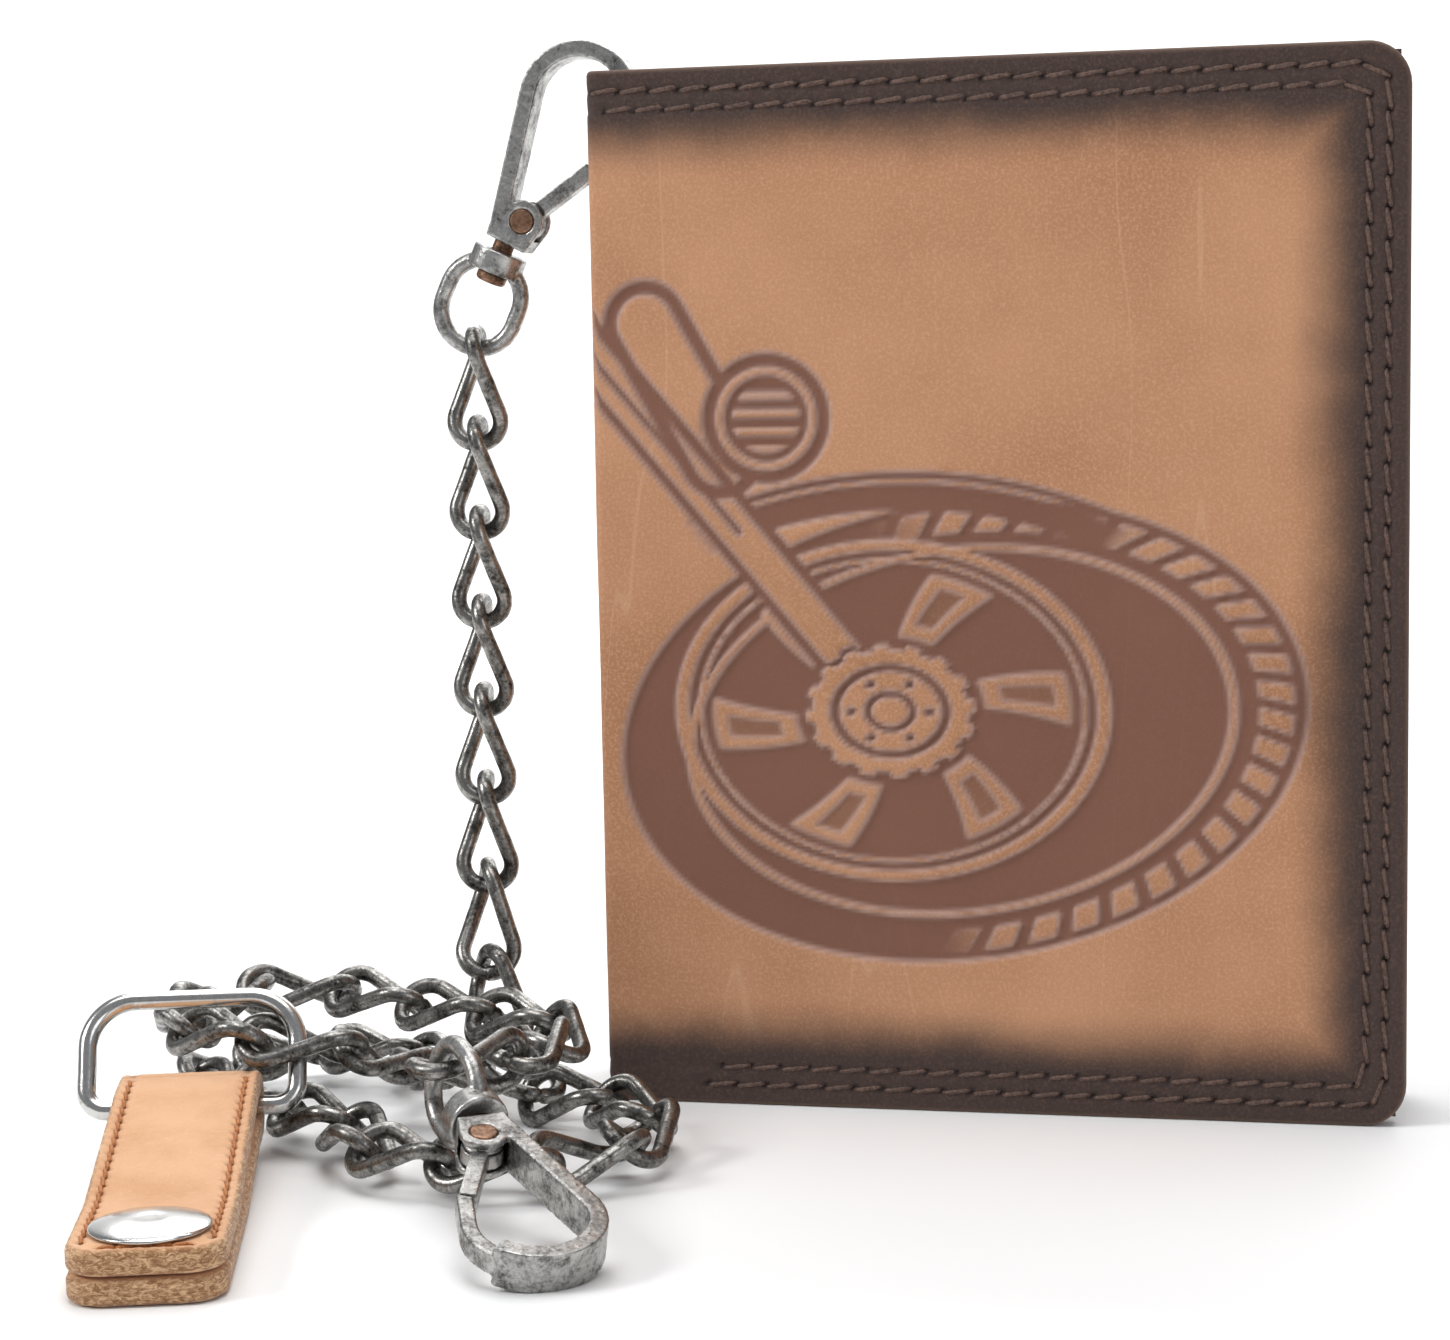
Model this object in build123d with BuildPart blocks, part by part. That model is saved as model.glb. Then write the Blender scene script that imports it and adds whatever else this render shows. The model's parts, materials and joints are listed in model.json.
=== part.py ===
from build123d import *
from math import cos, radians, sin
import os

# Chain wallet in millimetres, +Z up. The origin is at the foot of the spine, at
# mid-thickness. The wallet stands on its bottom edge with the spine at X = 0, the
# fore edge towards +X and the front cover facing -Y. The chain hangs from an eyelet
# in the spine and lies in a heap at -X, with a second hook and a snap tab on it.

# Wallet
WIDTH = 96.0
HEIGHT = 125.0
THICK = 17.0
LEATHER = 1.6
LINING = 0.6
BILL_PANEL = 1.2
CARD_LEAF = 0.7
FORE_CORNER = 5.0
SPINE_X = -LEATHER / 2
FORE_X = SPINE_X + WIDTH
FRONT_Y = -THICK / 2
BACK_Y = THICK / 2
FOLD_GAP = 0.3
SEW_MARGIN = 1.2
LINING_START_X = 11.0
CARD_TOPS = (96.0, 80.0, 64.0, 48.0)

# Eyelet in the spine, which the first hook is clipped through
EYELET_Z = 116.0
EYELET_BORE_R = 3.3
EYELET_TUBE_R = 3.6
EYELET_FLANGE_R = 4.6
EYELET_METAL = 0.4

# Middle leaf with the clear window
LEAF_HINGE = (11.0, -1.2)
LEAF_X = (12.0, 90.0)
LEAF_Z = (6.0, 118.0)

# Coin pouch in the back half
POUCH_X = (14.0, 90.0)
POUCH_Z = (4.0, 74.0)
POUCH_DEPTH = 2.8
POUCH_WALL = 0.8
POUCH_BACKING = 0.6
FLAP_Z = (46.0, 80.0)
STUD_AT = (52.0, 56.0)
STUD_R = 1.6

# Hook, in its own plane: x across, y from the rivet towards the loop
HOOK_DEPTH = 4.4
HOOK_BAR = 2.0
LOOP_R = 6.5
LOOP_CENTRE_Y = 15.9
LEG_LEAN = 13.1
LEG_LENGTH = 15.9
BOSS_R = 2.6
SLOT_R = 2.7
SLOT_DEPTH = 2.9
PIN_R = 1.5
NOSE_WIDTH = 1.7
NOSE_DEPTH = 2.4
NOSE_LENGTH = 5.2
NOSE_ARC = 38.0
GATE_WIDTH = 1.9
GATE_DEPTH = 2.5
GATE_RING_R = 2.3
GATE_LEAN = 63.0
GATE_REACH = 10.6
GATE_SEAM = 0.3
GATE_CHEEK = 1.6
PIVOT_PLAY = 0.05

# Swivel under each hook: a headed post, and an eye with a collar on it
POST_FOOT = (-1.3, -3.35)
POST_LEAN = 4.0
POST_R = 1.3
POST_SINK = 0.4
POST_HEAD_R = 1.9
POST_HEAD = (4.15, 5.35)
COLLAR_R = 3.4
COLLAR = (1.2, 4.0)
COLLAR_BORE_R = 1.4
EYE_CENTRE = 8.2
EYE_HALF_HEIGHT = 5.5
EYE_HALF_WIDTH = 4.8
EYE_WIRE = 2.05

# First hook, clipped through the eyelet
HOOK_1_RIVET = Vector(-10.75, 0, 107.78)
HOOK_1_LEAN = 28.0

# Second hook, resting its loop on the ground
HOOK_2_HEADING = -54.4
HOOK_2_DIP = 17.6

# Chain link: a twisted loop of round wire, its two bows at right angles
WIRE = 1.95
LINK_HALF = 6.9
BOW = 4.3
BOW_R = 3.15
GRIP = 2.7
CHAIN_X = -17.6
CHAIN_TOP_GAP = 2.05
EYE_GRIP = 2.3

# Route of the chain, one (heading, climb, roll) in degrees for each link in turn
HANGING = [(-90, -89, 0)] * 4 + [(-88, -89, 0), (-84, -87, 0), (-76, -70, 0), (-62, -46, 5)]
HEAP = [
    (-47, -19, 15), (-25, 5, 28), (-48, 0, 40), (-89, 0, 44),
    (-132, 0, 50), (-174, 0, 46), (158, 0, 42), (122, 0, 42),
    (146, 0, 46), (165, 0, 45), (121, 0, 42), (77, 0, 42),
    (34, 0, 46), (-9, 0, 44), (-52, 2, 42), (-84, 14, 42),
    (-122, 22, 45), (-163, 7, 45), (155, 0, 45), (111, 0, 45),
    (67, 0, 42), (23, -3, 42), (-20, -3, 42), (-20, 0, 42),
    (-30, 0, 40), (-70, 0, 30), (-95, 5, 18), (-128, 5, 5),
]
HEAP_GROUP = 4

# Snap tab: a leather strap folded round a ring
TAB_FOLD = Vector(-41.0, -43.0, 6.5)
TAB_YAW = 17.0
TAB_WIDTH = 16.0
TAB_LENGTH = 52.0
TAB_LEATHER = 2.8
TAB_FOLD_R = 2.7
TAB_BEND_R = 20.0
TAB_SPLIT = 1.0
TAB_CORNER = 4.0
TAB_LIFT = 0.02
TAB_GAP = 0.28
SNAP_S = 45.0
SNAP_CAP_R = 6.15
SNAP_CAP_RISE = 1.3
SNAP_CAP_ROUND = 0.9
SNAP_RIVET_R = 1.2
SNAP_RIVET_DEPTH = 1.4
RING_TILT = 60.0
RING_HALF_WIDTH = 12.0
RING_REACH = 13.0
RING_WIRE = 2.2

os.makedirs("parts", exist_ok=True)


def keep(piece, label):
    """Name a finished sub-part and write it."""
    piece.part.label = label
    export_step(piece.part, f"parts/{label}.step")


def panel(x_span, z_span, y_span):
    """A flat rectangular sheet that stands in the wallet."""
    with BuildPart() as sheet:
        with BuildSketch(Plane.XZ.offset(-y_span[1])):
            with Locations((sum(x_span) / 2, sum(z_span) / 2)):
                Rectangle(x_span[1] - x_span[0], z_span[1] - z_span[0])
        extrude(amount=y_span[1] - y_span[0])
    return sheet


def cover(x_start, y_back):
    """An outer leather plate with two rounded corners on the fore edge."""
    with BuildPart() as plate:
        with BuildSketch(Plane.XZ.offset(-y_back)) as outline:
            with Locations(((x_start + FORE_X) / 2, HEIGHT / 2)):
                Rectangle(FORE_X - x_start, HEIGHT)
            fillet(outline.vertices().sort_by(Axis.X)[-2:], FORE_CORNER)
        extrude(amount=LEATHER)
    return plate


# ---- Front half, with the spine -------------------------------------------------
eyelet_plane = Plane(origin=(0, 0, EYELET_Z), x_dir=(0, 1, 0), z_dir=(1, 0, 0))
front_plate = cover(SPINE_X, FRONT_Y + LEATHER)

with BuildPart() as front_cover:
    add(front_plate.part)
    with BuildSketch(Plane.XY):
        Rectangle(LEATHER, THICK)
    extrude(amount=HEIGHT)
    with Locations(eyelet_plane):
        Hole(EYELET_TUBE_R)
keep(front_cover, "front_cover")

lining_y = FRONT_Y + LEATHER
bill_y = lining_y + LINING
front_lining = panel((LINING_START_X, FORE_X - SEW_MARGIN), (1, HEIGHT - 1), (lining_y, bill_y))
keep(front_lining, "front_lining")

card_y = bill_y + BILL_PANEL
front_panel_sheet = panel(
    (LINING_START_X, FORE_X - SEW_MARGIN), (1, HEIGHT - 1), (bill_y, card_y)
)
with BuildPart() as front_bill_panel:
    add(front_panel_sheet.part)
    with BuildSketch(Plane.XZ.offset(-bill_y - BILL_PANEL / 2)):
        with Locations((52.5, 65)):
            Rectangle(79, HEIGHT - 1)
    extrude(amount=BILL_PANEL / 2, mode=Mode.SUBTRACT)
keep(front_bill_panel, "front_bill_panel")

for row, top in enumerate(CARD_TOPS):
    leaf_y = card_y + row * CARD_LEAF
    card_leaf = panel((12, 93), (2, top), (leaf_y, leaf_y + CARD_LEAF))
    keep(card_leaf, f"front_card_leaf_{row + 1}")

with BuildPart() as eyelet_barrel:
    with BuildSketch(eyelet_plane.offset(SPINE_X - EYELET_METAL)):
        Circle(EYELET_FLANGE_R)
    extrude(amount=EYELET_METAL)
    with BuildSketch(eyelet_plane.offset(SPINE_X - EYELET_METAL)):
        Circle(EYELET_TUBE_R)
    extrude(amount=LEATHER + 2 * EYELET_METAL)
    fillet(eyelet_barrel.edges().filter_by(GeomType.CIRCLE).group_by(Axis.X)[0], 0.15)
    with Locations(eyelet_plane):
        Hole(EYELET_BORE_R)
keep(eyelet_barrel, "eyelet_barrel")

with BuildPart() as eyelet_washer:
    with BuildSketch(eyelet_plane.offset(-SPINE_X)):
        Circle(EYELET_FLANGE_R + 0.4)
        Circle(EYELET_TUBE_R, mode=Mode.SUBTRACT)
    extrude(amount=EYELET_METAL)
keep(eyelet_washer, "eyelet_washer")

# ---- Middle leaf ------------------------------------------------------------------
leaf_front = LEAF_HINGE[1] - 0.5
leaf_back = LEAF_HINGE[1] + 0.5
leaf_tape = panel((-SPINE_X, LEAF_HINGE[0] - 0.4), (LEAF_Z[0], 104), (leaf_front, leaf_back))
keep(leaf_tape, "id_leaf_tape")

leaf_sheet = panel(LEAF_X, LEAF_Z, (leaf_front, leaf_back))
with BuildPart() as id_leaf_panel:
    add(leaf_sheet.part)
    with BuildSketch(Plane.XZ.offset(-leaf_back)):
        with Locations((51, 62)):
            RectangleRounded(60, 86, 3)
    extrude(amount=leaf_back - leaf_front, mode=Mode.SUBTRACT)
keep(id_leaf_panel, "id_leaf_panel")

id_window = panel((16, 86), (14, 110), (leaf_back, leaf_back + 0.4))
keep(id_window, "id_window")

slip_y = leaf_back + 0.4
slip_sheet = panel(LEAF_X, (LEAF_Z[0], 98), (slip_y, slip_y + 0.8))
with BuildPart() as id_slip_pocket:
    add(slip_sheet.part)
    with BuildSketch(Plane.XZ.offset(-slip_y - 0.8)):
        with Locations((51, 98)):
            Circle(11)
    extrude(amount=0.8, mode=Mode.SUBTRACT)
keep(id_slip_pocket, "id_slip_pocket")

# ---- Back half --------------------------------------------------------------------
back_cover = cover(-SPINE_X + FOLD_GAP, BACK_Y)
keep(back_cover, "back_cover")

back_lining_y = BACK_Y - LEATHER
back_lining = panel(
    (LINING_START_X, FORE_X - SEW_MARGIN), (1, HEIGHT - 1), (back_lining_y - LINING, back_lining_y)
)
keep(back_lining, "back_lining")

back_bill_y = back_lining_y - LINING
pouch_back_y = back_bill_y - BILL_PANEL
back_panel_sheet = panel(
    (LINING_START_X, FORE_X - SEW_MARGIN), (1, HEIGHT - 1), (pouch_back_y, back_bill_y)
)
with BuildPart() as back_bill_panel:
    add(back_panel_sheet.part)
    with BuildSketch(Plane.XZ.offset(-back_bill_y)):
        with Locations((52.5, 65)):
            Rectangle(79, HEIGHT - 1)
    extrude(amount=BILL_PANEL / 2, mode=Mode.SUBTRACT)
keep(back_bill_panel, "back_bill_panel")

pouch_y = pouch_back_y - POUCH_DEPTH
pouch_sheet = panel(POUCH_X, POUCH_Z, (pouch_y, pouch_back_y))
stud_plane = Plane(origin=(STUD_AT[0], 0, STUD_AT[1]), x_dir=(1, 0, 0), z_dir=(0, -1, 0))
with BuildPart() as coin_pouch:
    add(pouch_sheet.part)
    with BuildSketch(Plane.XZ.offset(-pouch_back_y + POUCH_BACKING)):
        with Locations((52, 41)):
            Rectangle(POUCH_X[1] - POUCH_X[0] - 4, 70)
    extrude(amount=POUCH_DEPTH - POUCH_WALL - POUCH_BACKING, mode=Mode.SUBTRACT)
    with BuildSketch(stud_plane.offset(-pouch_y - POUCH_WALL)):
        Circle(STUD_R)
    extrude(amount=POUCH_WALL, mode=Mode.SUBTRACT)
keep(coin_pouch, "coin_pouch")

flap_sheet = panel(POUCH_X, FLAP_Z, (pouch_y - 0.8, pouch_y))
with BuildPart() as coin_flap:
    add(flap_sheet.part)
    with BuildSketch(Plane.XZ.offset(-pouch_back_y)):
        with Locations((52, FLAP_Z[1] - 2)):
            Rectangle(POUCH_X[1] - POUCH_X[0], 4)
    extrude(amount=POUCH_DEPTH)
    with BuildSketch(stud_plane.offset(-pouch_y)):
        Circle(2.5)
    extrude(amount=0.8, mode=Mode.SUBTRACT)
keep(coin_flap, "coin_flap")

with BuildPart() as stud_cap:
    with BuildSketch(stud_plane.offset(-pouch_y + 0.8)):
        Circle(5.5)
    extrude(amount=0.7)
    fillet(stud_cap.faces().sort_by(Axis.Y)[0].edges(), 0.4)
keep(stud_cap, "stud_cap")

with BuildPart() as stud_socket:
    with BuildSketch(stud_plane.offset(-pouch_y)):
        Circle(2.5)
        Circle(STUD_R + 0.05, mode=Mode.SUBTRACT)
    extrude(amount=0.8)
keep(stud_socket, "stud_socket")

with BuildPart() as stud_post:
    with BuildSketch(stud_plane.offset(-pouch_y - POUCH_WALL - 0.4)):
        Circle(3.5)
    extrude(amount=0.4)
    with BuildSketch(stud_plane.offset(-pouch_y - POUCH_WALL)):
        Circle(STUD_R)
    extrude(amount=POUCH_WALL + 0.6)
keep(stud_post, "stud_post")

# ---- Hooks ------------------------------------------------------------------------
loop_centre = Vector(0, LOOP_CENTRE_Y)


def loop_point(angle):
    """A point on the centre line of the hook's round loop."""
    return loop_centre + Vector(cos(radians(angle)), sin(radians(angle))) * LOOP_R


leg_top = loop_point(180 + LEG_LEAN)
leg_foot = leg_top - Vector(-sin(radians(LEG_LEAN)), cos(radians(LEG_LEAN))) * LEG_LENGTH
nose_root = loop_point(-LEG_LEAN)
nose_tip = nose_root - Vector(sin(radians(LEG_LEAN)), cos(radians(LEG_LEAN))) * NOSE_LENGTH
gate_tip = Vector(cos(radians(GATE_LEAN)), sin(radians(GATE_LEAN))) * (GATE_REACH + 1)


def post_plane(place):
    """The swivel post's own plane, its normal pointing away from the hook."""
    foot = place.from_local_coords(Vector(*POST_FOOT))
    away = place.x_dir * sin(radians(POST_LEAN)) - place.y_dir * cos(radians(POST_LEAN))
    return Plane(origin=foot, x_dir=place.z_dir.cross(away), z_dir=away)


def hook_body(place):
    """The cast loop with its forked boss and the nose that meets the gate."""
    post = post_plane(place)
    with BuildPart() as body:
        with BuildSketch(place.offset(-HOOK_DEPTH / 2)):
            with BuildLine():
                Line(leg_foot, leg_top)
                CenterArc(loop_centre, LOOP_R, NOSE_ARC, 180 + LEG_LEAN - NOSE_ARC)
            trace(line_width=HOOK_BAR)
            Circle(BOSS_R)
            Polygon((-3.4, -3.35), (1.9, -3.35), (2.55, -0.5), (-3.9, 0.8), align=None)
        extrude(amount=HOOK_DEPTH)
        with BuildSketch(place.offset(-NOSE_DEPTH / 2)):
            with BuildLine():
                CenterArc(loop_centre, LOOP_R, -LEG_LEAN, LEG_LEAN + NOSE_ARC + 4)
                Line(nose_tip, nose_root)
            trace(line_width=NOSE_WIDTH)
            Circle(GATE_REACH + GATE_SEAM, mode=Mode.SUBTRACT)
        extrude(amount=NOSE_DEPTH)
        with BuildSketch(place.offset(-SLOT_DEPTH / 2)):
            Circle(SLOT_R)
        extrude(amount=SLOT_DEPTH, mode=Mode.SUBTRACT)
        with Locations(place):
            Hole(PIN_R)
        with BuildSketch(post.offset(-POST_SINK)):
            Circle(POST_R)
        extrude(amount=2 * POST_SINK, mode=Mode.SUBTRACT)
    return body


def hook_gate(place):
    """The gate: a ring on the rivet and a bar that closes against the nose."""
    with BuildPart() as gate:
        with BuildSketch(place.offset(-GATE_DEPTH / 2)):
            with BuildLine():
                Line((0, 0), gate_tip)
            trace(line_width=GATE_WIDTH)
            Circle(SLOT_R, mode=Mode.SUBTRACT)
            Circle(GATE_REACH, mode=Mode.INTERSECT)
        extrude(amount=GATE_DEPTH)
        with BuildSketch(place.offset(-GATE_DEPTH / 2)):
            with BuildLine():
                Line((0, 0), gate_tip)
            trace(line_width=GATE_WIDTH)
            Circle(SLOT_R + 0.2, mode=Mode.INTERSECT)
            Circle(GATE_RING_R)
            Circle(PIN_R + PIVOT_PLAY, mode=Mode.SUBTRACT)
        extrude(amount=GATE_CHEEK)
    return gate


def gate_spring(place):
    """Two turns of spring wire on the rivet, beside the gate's ring."""
    first_turn = -GATE_DEPTH / 2 + GATE_CHEEK + 0.28
    with BuildPart() as spring:
        with BuildSketch(Plane(origin=place.origin, x_dir=place.x_dir, z_dir=-place.y_dir)):
            with Locations((PIN_R + 0.35, first_turn), (PIN_R + 0.35, first_turn + 0.4)):
                Circle(0.22)
        revolve(axis=Axis(place.origin, place.z_dir))
    return spring


def hook_rivet(place):
    """The rivet that the gate turns on, peened at both ends."""
    with BuildPart() as rivet:
        with BuildSketch(place.offset(-HOOK_DEPTH / 2 - 0.1)):
            Circle(PIN_R)
        extrude(amount=HOOK_DEPTH + 0.2)
        ends = rivet.edges().filter_by(GeomType.CIRCLE)
        fillet(ends, 0.2)
    return rivet


def swivel_post(place):
    """The headed post that the eye turns on."""
    post = post_plane(place)
    with BuildPart() as pin:
        with BuildSketch(post.offset(-POST_SINK)):
            Circle(POST_R)
        extrude(amount=POST_HEAD[0] + POST_SINK)
        with BuildSketch(post.offset(POST_HEAD[0])):
            Circle(POST_HEAD_R)
        extrude(amount=POST_HEAD[1] - POST_HEAD[0])
        fillet(pin.faces().sort_by(Axis(post.origin, post.z_dir))[-1].edges(), 0.5)
    return pin


def swivel_eye(post, across):
    """The collar and the round eye, which turn on the post as one casting."""
    ring = Plane(origin=post.origin + post.z_dir * EYE_CENTRE, x_dir=across,
                 z_dir=across.cross(post.z_dir))
    with BuildPart() as eye:
        with BuildLine(ring) as loop:
            FilletPolyline(
                (-EYE_HALF_WIDTH, -EYE_HALF_HEIGHT), (EYE_HALF_WIDTH, -EYE_HALF_HEIGHT),
                (EYE_HALF_WIDTH, EYE_HALF_HEIGHT), (-EYE_HALF_WIDTH, EYE_HALF_HEIGHT),
                radius=EYE_HALF_WIDTH - 0.2, close=True,
            )
        with BuildSketch(Plane(origin=loop.line @ 0, z_dir=loop.line % 0)):
            Circle(EYE_WIRE / 2)
        sweep()
        with BuildSketch(post.offset(COLLAR[0])):
            Circle(COLLAR_R)
        extrude(amount=COLLAR[1] - COLLAR[0])
        fillet(eye.edges().filter_by(GeomType.CIRCLE)
               .filter_by(lambda edge: abs(edge.radius - COLLAR_R) < 0.01), 0.3)
        with BuildSketch(post):
            Circle(COLLAR_BORE_R)
        extrude(amount=COLLAR[1], mode=Mode.SUBTRACT)
        with BuildSketch(post.offset(COLLAR[1])):
            Circle(POST_HEAD_R + 0.2)
        extrude(amount=POST_HEAD[1] - COLLAR[1] + 0.2, mode=Mode.SUBTRACT)
    return eye


def keep_hook(name, place, across):
    """Make and write all the pieces of one swivel hook."""
    keep(hook_body(place), f"{name}_body")
    keep(hook_gate(place), f"{name}_gate")
    keep(gate_spring(place), f"{name}_gate_spring")
    keep(hook_rivet(place), f"{name}_rivet")
    keep(swivel_post(place), f"{name}_swivel_post")
    keep(swivel_eye(post_plane(place), across), f"{name}_swivel_eye")


lean = radians(HOOK_1_LEAN)
hook_1_plane = Plane(origin=HOOK_1_RIVET, x_dir=(cos(lean), 0, -sin(lean)), z_dir=(0, -1, 0))
post_1 = post_plane(hook_1_plane)
keep_hook("hook_1", hook_1_plane, post_1.x_dir)

# ---- Chain ------------------------------------------------------------------------


def link_plane(heading, climb, roll, centre):
    """The plane of a link whose run points along a heading and climb."""
    head = radians(heading)
    rise = radians(climb)
    turn = radians(roll)
    run = Vector(cos(rise) * cos(head), cos(rise) * sin(head), sin(rise))
    side = Vector(sin(head), -cos(head), 0)
    across = side * cos(turn) + side.cross(run) * sin(turn)
    return Plane(origin=centre, x_dir=across, z_dir=-run)


def hang_chain(top, route):
    """Planes of the links in turn, each hooked in the bow of the one before."""
    planes = []
    for heading, climb, roll in route:
        place = link_plane(heading, climb, roll, (0, 0, 0))
        run = -place.z_dir
        if planes:
            last = planes[-1]
            last_run = -last.z_dir
            bend = last_run.cross(run)
            along = bend.dot(last.x_dir) ** 2
            across = bend.dot(place.y_dir) ** 2
            share = across / (along + across) if along + across > 1e-12 else 0.5
            pull = last_run * share + run * (1 - share)
            top = last.origin + last_run * LINK_HALF - pull * GRIP
        planes.append(link_plane(heading, climb, roll, top + run * LINK_HALF))
    return planes


with BuildPart() as link:
    for half in (1, -1):
        with BuildLine() as half_wire:
            FilletPolyline(
                (0, 0, -LINK_HALF), (half * BOW, 0, -LINK_HALF),
                (0, -half * BOW, LINK_HALF), (0, 0, LINK_HALF),
                radius=BOW_R,
            )
        with BuildSketch(Plane(origin=half_wire.line @ 0, z_dir=half_wire.line % 0)):
            Circle(WIRE / 2)
        sweep()

eye_solid = swivel_eye(post_1, post_1.x_dir)
eye_bottom = eye_solid.part.bounding_box().min.Z + EYE_WIRE / 2
chain_planes = hang_chain(Vector(CHAIN_X, 0, eye_bottom + CHAIN_TOP_GAP), HANGING + HEAP)

for number, place in enumerate(chain_planes[:len(HANGING)], 1):
    with BuildPart() as hanging_link:
        with Locations(place.location):
            add(link.part)
    keep(hanging_link, f"chain_link_{number:02d}")

for first in range(len(HANGING), len(chain_planes), HEAP_GROUP):
    group = chain_planes[first:first + HEAP_GROUP]
    with BuildPart() as heap_links:
        with Locations(*[place.location for place in group]):
            add(link.part)
    keep(heap_links, f"chain_links_{first + 1:02d}_to_{first + len(group):02d}")

# ---- Second hook, caught in the last link -----------------------------------------
heading = radians(HOOK_2_HEADING)
dip = radians(HOOK_2_DIP)
hook_2_x = Vector(sin(heading), -cos(heading), 0)
hook_2_y = Vector(cos(heading) * cos(dip), sin(heading) * cos(dip), -sin(dip))
hook_2_z = hook_2_x.cross(hook_2_y)
hook_2_home = Plane(origin=(0, 0, 0), x_dir=hook_2_x, z_dir=hook_2_z)
last_link = chain_planes[-1]
last_run = -last_link.z_dir
caught = last_link.origin + last_run * (LINK_HALF - EYE_GRIP)
home_post = post_plane(hook_2_home)
eye_end = home_post.origin + home_post.z_dir * (EYE_CENTRE + EYE_HALF_HEIGHT)
hook_2_plane = Plane(origin=caught - eye_end, x_dir=hook_2_x, z_dir=hook_2_z)
eye_2_across = home_post.z_dir.cross(last_run).normalized()
keep_hook("hook_2", hook_2_plane, eye_2_across)

# ---- Snap tab ---------------------------------------------------------------------
tab_yaw = radians(TAB_YAW)
tab_run = Vector(sin(tab_yaw), -cos(tab_yaw), 0)
tab_across = Vector(cos(tab_yaw), sin(tab_yaw), 0)
tab_foot = Vector(TAB_FOLD.X, TAB_FOLD.Y, 0)
tab_side = Plane(origin=tab_foot + tab_across * (TAB_WIDTH / 2), x_dir=tab_run,
                 z_dir=-tab_across)
snap_plane = Plane(origin=tab_foot + tab_run * SNAP_S, x_dir=tab_run, z_dir=(0, 0, 1))
LOWER_Z = TAB_LIFT + TAB_LEATHER / 2
UPPER_Z = LOWER_Z + TAB_LEATHER + TAB_GAP
fold_low = TAB_FOLD.Z - TAB_FOLD_R
fold_high = TAB_FOLD.Z + TAB_FOLD_R

with BuildPart() as lower_flap:
    with BuildSketch(tab_side):
        with BuildLine():
            FilletPolyline((TAB_LENGTH, LOWER_Z), (24, LOWER_Z), (5, fold_low),
                           (-0.1, fold_low), radius=TAB_BEND_R)
            CenterArc((-0.1, TAB_FOLD.Z), TAB_FOLD_R, 90, 180)
            Line((-0.1, fold_high), (TAB_SPLIT - 0.2, fold_high))
        trace(line_width=TAB_LEATHER)
    extrude(amount=TAB_WIDTH)
    tips = lower_flap.edges().filter_by(Axis.Z).sort_by(Axis(tab_foot, tab_run))[-2:]
    fillet(tips, TAB_CORNER)
    with BuildSketch(snap_plane):
        Circle(1.45)
    extrude(amount=TAB_LEATHER + 1, mode=Mode.SUBTRACT)
    with BuildSketch(snap_plane):
        Circle(4.6)
    extrude(amount=0.7, mode=Mode.SUBTRACT)
keep(lower_flap, "tab_lower_flap")

with BuildPart() as upper_flap:
    with BuildSketch(tab_side):
        with BuildLine():
            FilletPolyline((TAB_SPLIT, fold_high), (5, fold_high), (34, UPPER_Z),
                           (TAB_LENGTH, UPPER_Z), radius=TAB_BEND_R)
        trace(line_width=TAB_LEATHER)
    extrude(amount=TAB_WIDTH)
    tips = upper_flap.edges().filter_by(Axis.Z).sort_by(Axis(tab_foot, tab_run))[-2:]
    fillet(tips, TAB_CORNER)
    with BuildSketch(snap_plane.offset(UPPER_Z - TAB_LEATHER)):
        Circle(3.1)
    extrude(amount=2 * TAB_LEATHER, mode=Mode.SUBTRACT)
keep(upper_flap, "tab_upper_flap")

upper_top = UPPER_Z + TAB_LEATHER / 2
with BuildPart() as snap_cap:
    with BuildSketch(snap_plane.offset(upper_top)):
        Circle(SNAP_CAP_R)
    extrude(amount=SNAP_CAP_RISE)
    fillet(snap_cap.faces().sort_by(Axis.Z)[-1].edges(), SNAP_CAP_ROUND)
    with BuildSketch(snap_plane.offset(upper_top - SNAP_RIVET_DEPTH)):
        Circle(SNAP_RIVET_R)
    extrude(amount=SNAP_RIVET_DEPTH)
keep(snap_cap, "tab_snap_cap")

socket_floor = UPPER_Z - TAB_LEATHER / 2 + 0.05
with BuildPart() as snap_socket:
    with BuildSketch(snap_plane.offset(socket_floor)):
        Circle(3.0)
    extrude(amount=1.75)
    with BuildSketch(snap_plane.offset(socket_floor)):
        Circle(2.25)
    extrude(amount=1.3, mode=Mode.SUBTRACT)
    with BuildSketch(snap_plane.offset(socket_floor)):
        Circle(1.2)
    extrude(amount=3, mode=Mode.SUBTRACT)
keep(snap_socket, "tab_snap_socket")

lower_top = LOWER_Z + TAB_LEATHER / 2
with BuildPart() as snap_stud:
    with BuildSketch(snap_plane.offset(TAB_LIFT + 0.68)):
        Circle(1.4)
    extrude(amount=lower_top + 0.4)
    with BuildSketch(snap_plane.offset(lower_top)):
        Circle(2.0)
    extrude(amount=0.12)
    with BuildSketch(snap_plane.offset(lower_top + 0.4)):
        Circle(1.9)
    extrude(amount=0.8)
    fillet(snap_stud.faces().sort_by(Axis.Z)[-1].edges(), 0.35)
keep(snap_stud, "tab_snap_stud")

with BuildPart() as snap_base:
    with BuildSketch(snap_plane.offset(TAB_LIFT)):
        Circle(4.5)
    extrude(amount=0.68)
keep(snap_base, "tab_snap_base")

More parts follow.
